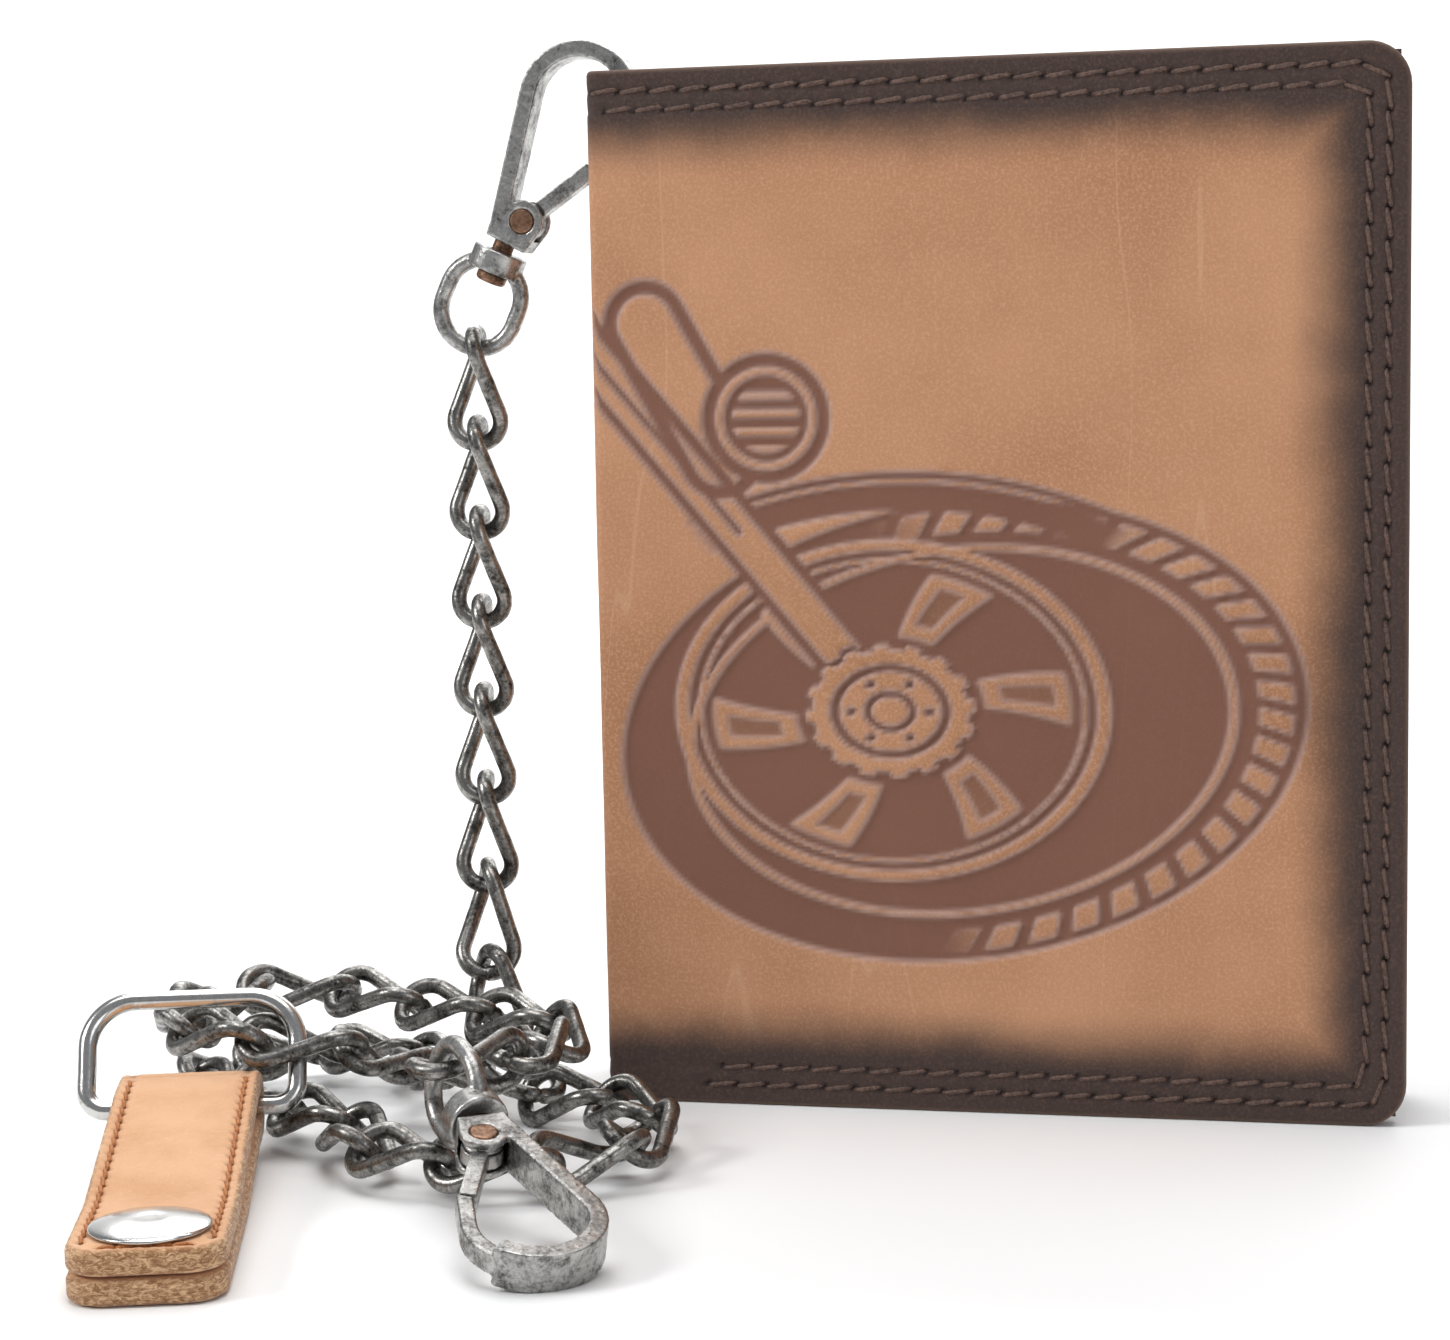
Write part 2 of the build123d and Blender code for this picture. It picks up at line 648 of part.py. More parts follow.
ring_tilt = radians(RING_TILT)
ring_back = Vector(0, 0, sin(ring_tilt)) - tab_run * cos(ring_tilt)
ring_plane = Plane(origin=TAB_FOLD, x_dir=tab_across, z_dir=tab_across.cross(ring_back))
with BuildPart() as tab_ring:
    with BuildLine(ring_plane) as ring_wire:
        FilletPolyline(
            (-RING_HALF_WIDTH, 0), (RING_HALF_WIDTH, 0),
            (RING_HALF_WIDTH, RING_REACH), (-RING_HALF_WIDTH, RING_REACH),
            radius=(2.4, 2.4, 5.5, 5.5), close=True,
        )
    with BuildSketch(Plane(origin=ring_wire.line @ 0, z_dir=ring_wire.line % 0)):
        Circle(RING_WIRE / 2)
    sweep()
keep(tab_ring, "tab_ring")
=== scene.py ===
import json
from math import atan2, ceil, cos, hypot, pi, radians, sin, sqrt, tan

import bpy
from mathutils import Matrix, Vector, noise


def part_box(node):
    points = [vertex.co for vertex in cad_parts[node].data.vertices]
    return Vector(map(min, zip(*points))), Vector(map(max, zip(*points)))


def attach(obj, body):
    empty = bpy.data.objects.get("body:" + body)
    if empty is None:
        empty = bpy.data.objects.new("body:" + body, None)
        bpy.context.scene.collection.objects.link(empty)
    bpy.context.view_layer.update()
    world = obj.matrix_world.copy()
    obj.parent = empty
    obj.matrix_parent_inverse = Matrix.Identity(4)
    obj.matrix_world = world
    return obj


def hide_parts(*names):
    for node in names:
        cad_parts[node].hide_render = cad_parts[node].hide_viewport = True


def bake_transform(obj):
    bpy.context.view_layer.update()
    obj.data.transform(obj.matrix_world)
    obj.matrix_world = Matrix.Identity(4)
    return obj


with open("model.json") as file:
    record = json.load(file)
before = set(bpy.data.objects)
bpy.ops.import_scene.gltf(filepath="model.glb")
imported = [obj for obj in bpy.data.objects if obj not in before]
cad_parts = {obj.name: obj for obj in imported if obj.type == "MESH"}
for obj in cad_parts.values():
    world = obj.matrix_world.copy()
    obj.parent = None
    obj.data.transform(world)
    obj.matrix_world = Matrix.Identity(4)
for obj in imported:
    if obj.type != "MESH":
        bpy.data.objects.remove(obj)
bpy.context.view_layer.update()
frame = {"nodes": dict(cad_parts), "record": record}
MM = 0.001
NODES = frame["nodes"]


def box_mm(node):
    """Lowest and highest corners of a CAD node, in millimetres."""
    low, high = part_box(node)
    return Vector(low) / MM, Vector(high) / MM


# ---- Camera -----------------------------------------------------------------------
CAMERA_AT = (0.08984, -0.35375, 0.09182)
CAMERA_YAW = -0.213398
CAMERA_PITCH = 0.108232
CAMERA_ROLL = -0.019093
LENS = 73.34

ahead = Vector((sin(CAMERA_YAW) * cos(CAMERA_PITCH), cos(CAMERA_YAW) * cos(CAMERA_PITCH),
                -sin(CAMERA_PITCH)))
level = Vector((cos(CAMERA_YAW), -sin(CAMERA_YAW), 0))
upright = level.cross(ahead)
cam_x = level * cos(CAMERA_ROLL) + upright * sin(CAMERA_ROLL)
cam_y = upright * cos(CAMERA_ROLL) - level * sin(CAMERA_ROLL)
camera_data = bpy.data.cameras.new("camera")
camera_data.lens = LENS
camera_data.sensor_width = 36.0
camera_data.clip_start = 0.01
camera = bpy.data.objects.new("camera", camera_data)
turn = Matrix((cam_x, cam_y, -ahead)).transposed().to_4x4()
camera.matrix_world = Matrix.Translation(CAMERA_AT) @ turn
bpy.context.scene.collection.objects.link(camera)
bpy.context.scene.camera = camera
bpy.context.scene.view_settings.view_transform = "Standard"


# ---- Materials --------------------------------------------------------------------
class Shader:
    """A small helper that builds one node material."""

    def __init__(self, name):
        self.material = bpy.data.materials.new(name)
        self.material.use_nodes = True
        self.tree = self.material.node_tree
        self.tree.nodes.clear()
        self.out = self.add("ShaderNodeOutputMaterial")
        self.bsdf = self.add("ShaderNodeBsdfPrincipled")
        self.link(self.bsdf.outputs[0], self.out.inputs["Surface"])
        self.place = self.add("ShaderNodeTexCoord").outputs["Object"]

    def add(self, kind):
        return self.tree.nodes.new(kind)

    def link(self, source, target):
        self.tree.links.new(source, target)

    def put(self, value, socket):
        if isinstance(value, bpy.types.NodeSocket):
            self.link(value, socket)
        else:
            socket.default_value = value

    def set(self, **values):
        for key, value in values.items():
            self.put(value, self.bsdf.inputs[key.replace("_", " ")])

    def noise(self, scale, detail=4.0, rough=0.55, stretch=(1, 1, 1), warp=0.0):
        spread = self.add("ShaderNodeMapping")
        spread.inputs["Scale"].default_value = stretch
        self.link(self.place, spread.inputs["Vector"])
        node = self.add("ShaderNodeTexNoise")
        node.inputs["Scale"].default_value = scale
        node.inputs["Detail"].default_value = detail
        node.inputs["Roughness"].default_value = rough
        node.inputs["Distortion"].default_value = warp
        self.link(spread.outputs[0], node.inputs["Vector"])
        return node.outputs["Fac"]

    def cells(self, scale):
        node = self.add("ShaderNodeTexVoronoi")
        node.inputs["Scale"].default_value = scale
        self.link(self.place, node.inputs["Vector"])
        return node.outputs["Distance"]

    def ramp(self, value, low, high, start=0.0, end=1.0):
        node = self.add("ShaderNodeMapRange")
        node.interpolation_type = "SMOOTHSTEP"
        self.put(value, node.inputs["Value"])
        node.inputs["From Min"].default_value = low
        node.inputs["From Max"].default_value = high
        node.inputs["To Min"].default_value = start
        node.inputs["To Max"].default_value = end
        return node.outputs["Result"]

    def math(self, kind, first, second=0.0):
        node = self.add("ShaderNodeMath")
        node.operation = kind
        self.put(first, node.inputs[0])
        self.put(second, node.inputs[1])
        return node.outputs[0]

    def mix(self, share, first, second):
        node = self.add("ShaderNodeMix")
        node.data_type = "RGBA"
        self.put(share, node.inputs[0])
        for color, socket in ((first, node.inputs[6]), (second, node.inputs[7])):
            self.put(color if isinstance(color, bpy.types.NodeSocket) else (*color, 1), socket)
        return node.outputs[2]

    def mark(self, name):
        node = self.add("ShaderNodeAttribute")
        node.attribute_name = name
        return node.outputs["Fac"]

    def bump(self, height, strength, distance):
        node = self.add("ShaderNodeBump")
        node.inputs["Strength"].default_value = strength
        node.inputs["Distance"].default_value = distance
        self.link(height, node.inputs["Height"])
        self.link(node.outputs[0], self.bsdf.inputs["Normal"])


def cover_leather():
    """Waxed nubuck, burnished dark along the sewn edges and in the pressed emblem, with a painted
    highlight along the emblem's edges and painted shade in the needle holes.
    """
    s = Shader("cover_leather")
    cloud = s.noise(28, 3)
    grain = s.noise(2600, 3, 0.7)
    speck = s.cells(3400)
    tan_low, tan_high = (0.40, 0.185, 0.088), (0.545, 0.275, 0.145)
    color = s.mix(s.ramp(cloud, 0.3, 0.7), tan_low, tan_high)
    color = s.mix(s.ramp(grain, 0.42, 0.7, 0, 0.5), color, (0.66, 0.38, 0.23))
    color = s.mix(s.ramp(speck, 0.25, 0.0, 0, 0.35), color, (0.20, 0.085, 0.045))
    scratch = s.noise(60, 2, 0.5, (1, 1, 0.08), 0.4)
    line = s.math("ABSOLUTE", s.math("SUBTRACT", scratch, 0.5))
    color = s.mix(s.ramp(line, 0.004, 0.0, 0, 0.22), color, (0.72, 0.46, 0.30))
    color = s.mix(s.math("MULTIPLY", s.mark("press"), 0.86), color, (0.165, 0.068, 0.048))
    # painted highlight: a pale lilac tint along the emblem's pressed edges, where light catches the
    # bevel
    color = s.mix(s.math("MULTIPLY", s.mark("bevel"), 0.6), color, (0.46, 0.33, 0.30))
    wander = s.math("MULTIPLY", s.math("SUBTRACT", s.noise(70, 3), 0.5), 0.55)
    burn = s.ramp(s.math("ADD", s.mark("burn"), wander), 0.0, 0.95)
    dark = s.mix(s.ramp(grain, 0.4, 0.75), (0.045, 0.026, 0.021), (0.095, 0.055, 0.042))
    color = s.mix(burn, color, dark)
    color = s.mix(s.math("MULTIPLY", s.mark("rim"), 0.55), color, (0.17, 0.095, 0.06))
    # painted shade: the needle holes are filled with near black
    color = s.mix(s.mark("hole"), color, (0.006, 0.003, 0.003))
    s.set(Base_Color=color, Roughness=s.ramp(grain, 0.3, 0.7, 0.62, 0.82))
    s.set(Sheen_Weight=0.12, Sheen_Roughness=0.6)
    s.bsdf.inputs["Specular IOR Level"].default_value = 0.28
    s.bump(s.math("ADD", grain, s.math("MULTIPLY", speck, 0.5)), 0.5, 0.00012)
    return s.material


def plain_leather(name, low, high, grain_scale=1900, rough=0.6):
    """Smooth dyed leather with fine pores."""
    s = Shader(name)
    grain = s.noise(grain_scale, 4, 0.65)
    pores = s.cells(grain_scale * 0.9)
    color = s.mix(s.ramp(s.noise(60, 4), 0.3, 0.7), low, high)
    color = s.mix(s.ramp(pores, 0.22, 0.02, 0, 0.5), color, [c * 0.55 for c in low])
    s.set(Base_Color=color, Roughness=s.ramp(grain, 0.3, 0.7, rough - 0.08, rough + 0.12))
    s.bump(s.math("ADD", grain, pores), 0.45, 0.00012)
    return s.material


def tab_leather():
    """Natural vegetable-tanned leather with a suede nap and fuzzy raw edges."""
    s = Shader("tab_leather")
    grain = s.noise(2400, 4, 0.7)
    fibre = s.noise(900, 5, 0.75, (1, 1, 2.5), 1.2)
    color = s.mix(s.ramp(s.noise(90, 4), 0.3, 0.7), (0.60, 0.315, 0.155), (0.72, 0.42, 0.235))
    color = s.mix(s.ramp(grain, 0.5, 0.75, 0, 0.45), color, (0.80, 0.53, 0.34))
    edge = s.mix(s.ramp(fibre, 0.4, 0.66), (0.27, 0.125, 0.052), (0.74, 0.49, 0.28))
    color = s.mix(s.mark("rim"), color, edge)
    stain = s.ramp(s.noise(150, 2), 0.70, 0.78, 0, 0.35)
    color = s.mix(stain, color, (0.30, 0.17, 0.10))
    # painted shade: the needle holes are darkened brown
    color = s.mix(s.mark("hole"), color, (0.12, 0.045, 0.015))
    s.set(Base_Color=color, Roughness=s.ramp(grain, 0.3, 0.7, 0.74, 0.92))
    s.set(Sheen_Weight=0.2, Sheen_Roughness=0.5)
    s.bsdf.inputs["Specular IOR Level"].default_value = 0.2
    s.bump(s.math("ADD", s.math("MULTIPLY", grain, 0.5), fibre), 0.6, 0.0002)
    return s.material


def antique_metal(name, dark, light, rough=(0.22, 0.5), wear=0.5, pit=0.00008):
    """Plated metal with a dark wash left in the pits and worn bright spots."""
    s = Shader(name)
    wash = s.noise(420, 6, 0.72)
    fine = s.noise(2300, 5, 0.75)
    both = s.math("ADD", s.math("MULTIPLY", wash, 0.6), s.math("MULTIPLY", fine, 0.4))
    color = s.mix(s.ramp(both, wear - 0.14, wear + 0.12), dark, light)
    s.set(Base_Color=color, Metallic=1.0)
    s.set(Roughness=s.ramp(both, wear - 0.1, wear + 0.15, rough[1], rough[0]))
    s.bump(both, 0.5, pit)
    return s.material


def thread(name, low, high):
    """Twisted waxed thread."""
    s = Shader(name)
    ply = s.noise(3000, 3, 0.7, (1, 1, 1), 0.5)
    s.set(Base_Color=s.mix(s.ramp(ply, 0.35, 0.65), low, high), Roughness=0.62)
    s.bump(ply, 0.5, 0.00008)
    return s.material


def clear_film():
    """Slightly hazy clear window."""
    s = Shader("clear_film")
    haze = s.noise(300, 4)
    s.set(Base_Color=(0.85, 0.88, 0.90, 1), Roughness=s.ramp(haze, 0.3, 0.7, 0.08, 0.2))
    s.set(Transmission_Weight=0.9, IOR=1.46)
    return s.material


def woven_tape():
    """Narrow woven tape."""
    s = Shader("woven_tape")
    weave = s.add("ShaderNodeTexWave")
    weave.inputs["Scale"].default_value = 900
    s.link(s.place, weave.inputs["Vector"])
    s.set(Base_Color=s.mix(weave.outputs["Fac"], (0.05, 0.03, 0.02), (0.11, 0.07, 0.05)), Roughness=0.9)
    s.bump(weave.outputs["Fac"], 0.6, 0.0001)
    return s.material


COVER = cover_leather()
LINING = plain_leather("lining_leather", (0.045, 0.024, 0.016), (0.075, 0.04, 0.026))
INNER = plain_leather("inner_leather", (0.135, 0.058, 0.03), (0.20, 0.092, 0.048), 1500, 0.5)
TAB = tab_leather()
CHAIN_METAL = antique_metal("chain_nickel", (0.022, 0.020, 0.018), (0.34, 0.33, 0.31), (0.2, 0.42), 0.5)
HOOK_METAL = antique_metal("hook_nickel", (0.06, 0.057, 0.053), (0.46, 0.455, 0.44),
                           (0.26, 0.5), 0.47, 0.00012)
FITTING = antique_metal("fitting_nickel", (0.15, 0.145, 0.14), (0.62, 0.615, 0.60),
                        (0.16, 0.34), 0.4, 0.00004)
RIVET = antique_metal("rivet_brass", (0.07, 0.04, 0.028), (0.34, 0.20, 0.13), (0.35, 0.6), 0.5)
DARK_THREAD = thread("dark_thread", (0.055, 0.028, 0.02), (0.15, 0.088, 0.066))
TAB_THREAD = thread("tab_thread", (0.30, 0.095, 0.02), (0.52, 0.20, 0.055))
FILM = clear_film()
TAPE = woven_tape()

SLOT_MATERIAL = {
    "cover_leather": COVER, "lining_leather": LINING, "inner_leather": INNER, "tape_cloth": TAPE,
    "clear_window": FILM, "tab_leather": TAB, "chain_nickel": CHAIN_METAL, "hook_nickel": HOOK_METAL,
    "rivet_brass": RIVET, "fitting_nickel": FITTING,
}
for entry in frame["record"]["subparts"]:
    carried = NODES[entry["node"]]
    carried.data.materials.clear()
    carried.data.materials.append(SLOT_MATERIAL[entry["material_slot"]])


# ---- Mesh helpers -----------------------------------------------------------------
def make_object(name, points, faces, material, smooth=True, marks=None):
    """A mesh object from points in millimetres."""
    mesh = bpy.data.meshes.new(name)
    mesh.from_pydata([tuple(Vector(p) * MM) for p in points], [], faces)
    mesh.validate()
    mesh.update()
    mesh.polygons.foreach_set("use_smooth", [smooth] * len(mesh.polygons))
    mesh.materials.append(material)
    for mark, values in (marks or {}).items():
        layer = mesh.attributes.new(mark, "FLOAT", "POINT")
        layer.data.foreach_set("value", values)
    piece = bpy.data.objects.new(name, mesh)
    bpy.context.scene.collection.objects.link(piece)
    return piece


def step(low, high, value):
    """A smooth rise from 0 at low to 1 at high."""
    t = min(max((value - low) / (high - low), 0.0), 1.0)
    return t * t * (3 - 2 * t)


def slab(name, rows, place, thick, edge, material, relief=None, round_r=0.6, skip=None):
    """A closed leather sheet. rows hold flat (a, b) points; place(a, b, depth) bends them."""
    outer, inner = [], []
    marks = {"press": [], "bevel": [], "burn": [], "hole": [], "rim": []}
    for row in rows:
        for a, b in row:
            gap = edge(a, b)
            near = min(max(gap, 0.0), round_r)
            sink = round_r - sqrt(max(round_r ** 2 - (round_r - near) ** 2, 0.0))
            facts = relief(a, b, gap) if relief else {}
            outer.append(place(a, b, sink + facts.get("depth", 0.0)))
            inner.append(place(a, b, thick - sink))
            for mark in marks:
                marks[mark].append(facts.get(mark, 0.0))
            marks["rim"][-1] = max(marks["rim"][-1], 1 - step(0.1, round_r, gap))
    for mark in marks:
        tail = [0.0] * len(inner)
        if mark in ("rim", "burn"):
            tail = list(marks[mark])
        marks[mark] = marks[mark] + tail
    count, width = len(outer), len(rows[0])
    faces = []
    gone = set()
    for i in range(len(rows) - 1):
        for j in range(width - 1):
            quad = (i * width + j, i * width + j + 1, (i + 1) * width + j + 1, (i + 1) * width + j)
            if skip and skip(*[sum(rows[k // width][k % width][n] for k in quad) / 4 for n in (0, 1)]):
                gone.add(quad)
                continue
            faces.append(quad)
            faces.append(tuple(count + k for k in reversed(quad)))
    sides = {}
    for quad in faces:
        if quad[0] < count:
            for one, two in zip(quad, quad[1:] + quad[:1]):
                sides[(one, two)] = sides.get((one, two), 0) + 1
    for one, two in list(sides):
        if (two, one) not in sides:
            faces.append((two, one, count + one, count + two))
    return make_object(name, outer + inner, faces, material, marks=marks)


def frange(low, high, pitch):
    """Evenly spaced values from low to high with about the given pitch."""
    count = max(1, ceil(abs(high - low) / pitch))
    return [low + (high - low) * k / count for k in range(count + 1)]


RIM_STEPS = (0.0, 0.04, 0.14, 0.3, 0.6)


def tube(path, radius, sides, closed=True, taper=None):
    """Points and faces of a round bar along a path of vectors in millimetres."""
    count = len(path)
    points, faces = [], []
    tangent = []
    for k in range(count):
        after = path[(k + 1) % count] if closed or k + 1 < count else path[k]
        before = path[k - 1] if closed or k else path[k]
        tangent.append((after - before).normalized())
    normal = tangent[0].orthogonal().normalized()
    frames = []
    for k in range(count):
        normal = (normal - tangent[k] * normal.dot(tangent[k])).normalized()
        frames.append(normal.copy())
    twist = 0.0
    if closed:
        last = (frames[-1] - tangent[0] * frames[-1].dot(tangent[0])).normalized()
        twist = atan2(last.cross(frames[0]).dot(tangent[0]), last.dot(frames[0]))
    for k in range(count):
        side = tangent[k].cross(frames[k])
        r = radius * (taper[k] if taper else 1.0)
        for m in range(sides):
            angle = 2 * pi * m / sides + twist * k / count
            points.append(path[k] + (frames[k] * cos(angle) + side * sin(angle)) * r)
    for k in range(count if closed else count - 1):
        for m in range(sides):
            a, b = k * sides + m, k * sides + (m + 1) % sides
            c, d = ((k + 1) % count) * sides + (m + 1) % sides, ((k + 1) % count) * sides + m
            faces.append((a, b, c, d))
    if not closed:
        faces.append(tuple(range(sides))[::-1])
        faces.append(tuple((count - 1) * sides + m for m in range(sides)))
    return points, faces


def join(parts):
    """Several (points, faces) lists as one."""
    points, faces = [], []
    for some_points, some_faces in parts:
        shift = len(points)
        points += some_points
        faces += [tuple(k + shift for k in face) for face in some_faces]
    return points, faces


def stitches(spots, lift, thread_r, length):
    """Short twisted threads; each spot is (centre, direction, outward normal)."""
    parts = []
    for number, (centre, along, out) in enumerate(spots):
        across = out.cross(along)
        skew = (along + across * 0.16).normalized()
        path = []
        for k in range(9):
            t = k / 8 * 2 - 1
            arch = lift * (1 - t ** 4) - thread_r * 0.9
            path.append(centre + skew * (t * length / 2) + out * arch)
        thick = [0.75 + 0.3 * abs(sin(pi * 2.5 * k / 8 + number)) for k in range(9)]
        parts.append(tube(path, thread_r, 8, closed=False, taper=thick))
    return join(parts)


# ---- Wallet covers ----------------------------------------------------------------
front_low, front_high = box_mm("front_cover")
SPINE_X = front_low.x
FORE_X = front_high.x
FRONT_Y = front_low.y
BACK_Y = front_high.y
HEIGHT = front_high.z
LEATHER = 1.6
FORE_CORNER = 5.0
SPINE_ROUND = 1.1
# Where the two drawn parts of the spine meet. In CAD the front cover carries the whole spine.
SPINE_SPLIT = 3.95
eyelet_low, eyelet_high = box_mm("eyelet_barrel")
EYELET_Z = (eyelet_low.z + eyelet_high.z) / 2
HOLE_R = 3.75
PANEL = 0.42
BORDER = 9.2
ROW_OUT, ROW_IN = 2.5, 4.7
STITCH = 3.6
GROOVE_DEPTH = 0.12
HOLE_DEPTH = 0.35
SKIN_DEPTH = 0.1


def outline_gap(x, z):
    """Distance in from the cover's top, fore and bottom edges."""
    dx, dz = FORE_X - x, min(z, HEIGHT - z)
    if dx < FORE_CORNER and dz < FORE_CORNER:
        return FORE_CORNER - hypot(FORE_CORNER - dx, FORE_CORNER - dz)
    return min(dx, dz)


def row_reach(z):
    """How far the cover reaches towards the fore edge at a height."""
    dz = min(z, HEIGHT - z)
    if dz >= FORE_CORNER:
        return FORE_X
    return FORE_X - FORE_CORNER + sqrt(max(FORE_CORNER ** 2 - (FORE_CORNER - dz) ** 2, 0.0))


def cover_heights():
    """Row heights: close together round the corners, even between them."""
    turns = (0, 5, 10, 16, 22, 29, 36, 44, 52, 61, 70, 80, 90)
    corner = [FORE_CORNER * (1 - cos(radians(t))) for t in turns]
    middle = frange(FORE_CORNER, HEIGHT - FORE_CORNER, PANEL)[1:-1]
    return corner + middle + [HEIGHT - c for c in reversed(corner)]


def bend(y_sign):
    """A function that bends a flat cover point round the spine corner, at a depth into the leather."""
    face_y = FRONT_Y if y_sign < 0 else BACK_Y
    turn_x = SPINE_X + SPINE_ROUND
    arc = SPINE_ROUND * pi / 2

    def place(a, z, depth):
        if a >= turn_x:
            return Vector((a, face_y - y_sign * depth, z))
        run = turn_x - a
        centre = Vector((turn_x, face_y - y_sign * SPINE_ROUND, z))
        if run < arc:
            angle = run / SPINE_ROUND
            reach = SPINE_ROUND - depth
            return centre + Vector((-sin(angle) * reach, y_sign * cos(angle) * reach, 0))
        return centre + Vector((depth - SPINE_ROUND, -y_sign * (run - arc), 0))

    return place


def ring_mask(value, low, high, soft=0.02):
    """1 between two values, with soft edges."""
    return step(low - soft, low + soft, value) * (1 - step(high - soft, high + soft, value))


def bar_mask(x, z, start, end, half, soft=0.22):
    """1 inside a straight bar with round ends."""
    run = Vector(end) - Vector(start)
    at = Vector((x, z)) - Vector(start)
    t = min(max(at.dot(run) / run.length_squared, 0.0), 1.0)
    return 1 - step(half - soft, half + soft, (at - run * t).length)


# The emblem is a plain spoked wheel with a toothed hub, a guard and a lamp on a fork.
WHEEL = (43.0, 46.0)
WHEEL_TILT = radians(-9)
WHEEL_HALF = (41.5, 27.5)
HUB = (35.0, 48.5)
EMBLEM_DEPTH = 0.55
BEVEL = 0.28
LAMP = (20.5, 83.5)


def emblem(x, z):
    """How deep the emblem is pressed at a point on the front cover, 0 to 1."""
    dx, dz = x - WHEEL[0], z - WHEEL[1]
    u = (dx * cos(WHEEL_TILT) - dz * sin(WHEEL_TILT)) / WHEEL_HALF[0]
    v = (dx * sin(WHEEL_TILT) + dz * cos(WHEEL_TILT)) / WHEEL_HALF[1]
    r, angle = hypot(u, v), atan2(v, u)
    deep = 1 - step(0.985, 1.0, r)
    tread = ring_mask(r, 0.86, 0.955, 0.008) * step(0.25, 0.4, 0.5 + 0.5 * sin(angle * 46 + r * 24))
    deep *= 1 - 0.9 * tread * (1 - step(1.5, 1.75, abs(angle)))
    deep *= 1 - 0.9 * ring_mask(r, 0.775, 0.80, 0.006)
    hx, hz = x - HUB[0], z - HUB[1]
    hr, ha = hypot(hx, hz * 1.28), atan2(hz * 1.28, hx)
    rim = ring_mask(hr, 24.6, 26.2, 0.16) + ring_mask(hr, 22.9, 23.4, 0.12)
    deep *= 1 - 0.9 * min(rim, 1.0)
    curl = ha * 6 + (hr - 10) * 0.085
    petal = step(0.35, 0.55, sin(curl)) * ring_mask(hr, 11.5, 21.5, 0.5)
    inlay = step(0.82, 0.93, sin(curl)) * ring_mask(hr, 13.5, 19.8, 0.4)
    deep *= 1 - 0.95 * petal * (1 - 0.8 * inlay)
    gx, gz = x - 37.0, z - 40.0
    guard_r = hypot(gx / 1.34, gz)
    across = step(-0.72, -0.66, atan2(gx, gz)) * (1 - step(0.68, 0.76, atan2(gx, gz)))
    guard = ring_mask(guard_r, 32.4, 37.0, 0.16) * across
    deep = max(deep, guard * (1 - 0.9 * ring_mask(guard_r, 35.7, 36.1, 0.12)))
    fork = bar_mask(x, z, (-3, 94), HUB, 3.5)
    deep = max(deep, fork)
    deep *= 1 - 0.95 * bar_mask(x, z, (-2, 92.5), HUB, 2.1)
    deep = max(deep, bar_mask(x, z, (-2, 92.5), (17, 70), 0.45))
    teeth = 9.4 + 0.75 * step(-0.2, 0.2, sin(ha * 16))
    inside_hub = 1 - step(teeth - 0.15, teeth + 0.15, hr)
    hub = max(ring_mask(hr, 6.1, 7.3, 0.14), ring_mask(hr, 2.2, 3.2, 0.14))
    for spot in range(6):
        sx = HUB[0] + 4.7 * cos(spot * pi / 3)
        sz = HUB[1] + 4.7 * sin(spot * pi / 3) / 1.28
        hub = max(hub, 1 - step(0.45, 0.75, hypot(x - sx, (z - sz) * 1.28)))
    halo = ring_mask(hr, teeth, teeth + 0.9, 0.14)
    deep = max(deep * (1 - inside_hub) + hub * inside_hub, halo)
    bracket = [bar_mask(x, z, (6, 95), (15, 79), half) for half in (5.2, 3.4)]
    deep = max(deep, bracket[0] * (1 - bracket[1]))
    lamp_r = hypot(x - LAMP[0], z - LAMP[1])
    deep = max(deep, 1 - step(7.6, 8.0, lamp_r))
    deep *= 1 - 0.95 * ring_mask(lamp_r, 5.2, 6.1, 0.16)
    slats = step(0.1, 0.4, sin((z - LAMP[1]) * 2.9)) * (1 - step(3.8, 4.3, lamp_r))
    deep *= 1 - 0.9 * slats
    return min(max(deep, 0.0), 1.0)


def sewn_groove(gap):
    """Depth of the shallow grooves that the two rows of stitches pull into the leather."""
    rows = [ring_mask(gap, inset - 0.5, inset + 0.5, 0.3) for inset in (ROW_OUT, ROW_IN)]
    return GROOVE_DEPTH * sum(rows)


def needle_marks(spots):
    """A grid look-up of needle holes, so that each point finds its near ones quickly."""
    cells = {}
    for a, z in spots:
        cells.setdefault((round(a / 2), round(z / 2)), []).append((a, z))
    return cells


def hole_at(cells, a, z):
    """1 in a needle hole, falling to 0 outside."""
    best = 0.0
    for i in (-1, 0, 1):
        for j in (-1, 0, 1):
            for x, y in cells.get((round(a / 2) + i, round(z / 2) + j), ()):
                best = max(best, 1 - step(0.28, 0.62, hypot(a - x, z - y)))
    return best


def sewn_path(inset, start_x):
    """Flat points along one row of stitches: top, fore edge, bottom."""
    corner = max(FORE_CORNER - inset, 0.6)
    right = FORE_X - inset
    legs = [("line", (SPINE_X + 0.6, HEIGHT - inset), (right - corner, HEIGHT - inset)),
            ("arc", (right - corner, HEIGHT - inset - corner), corner, pi / 2, 0),
            ("line", (right, HEIGHT - inset - corner), (right, inset + corner)),
            ("arc", (right - corner, inset + corner), corner, 0, -pi / 2),
            ("line", (right - corner, inset), (start_x, inset))]
    dense = []
    for leg in legs:
        if leg[0] == "line":
            a, b = Vector(leg[1]), Vector(leg[2])
            dense += [a.lerp(b, k / 200) for k in range(200)]
        else:
            c, r, t0, t1 = Vector(leg[1]), leg[2], leg[3], leg[4]
            for k in range(40):
                angle = t0 + (t1 - t0) * k / 40
                dense.append(c + Vector((cos(angle), sin(angle))) * r)
    dense.append(Vector((start_x, inset)))
    return dense


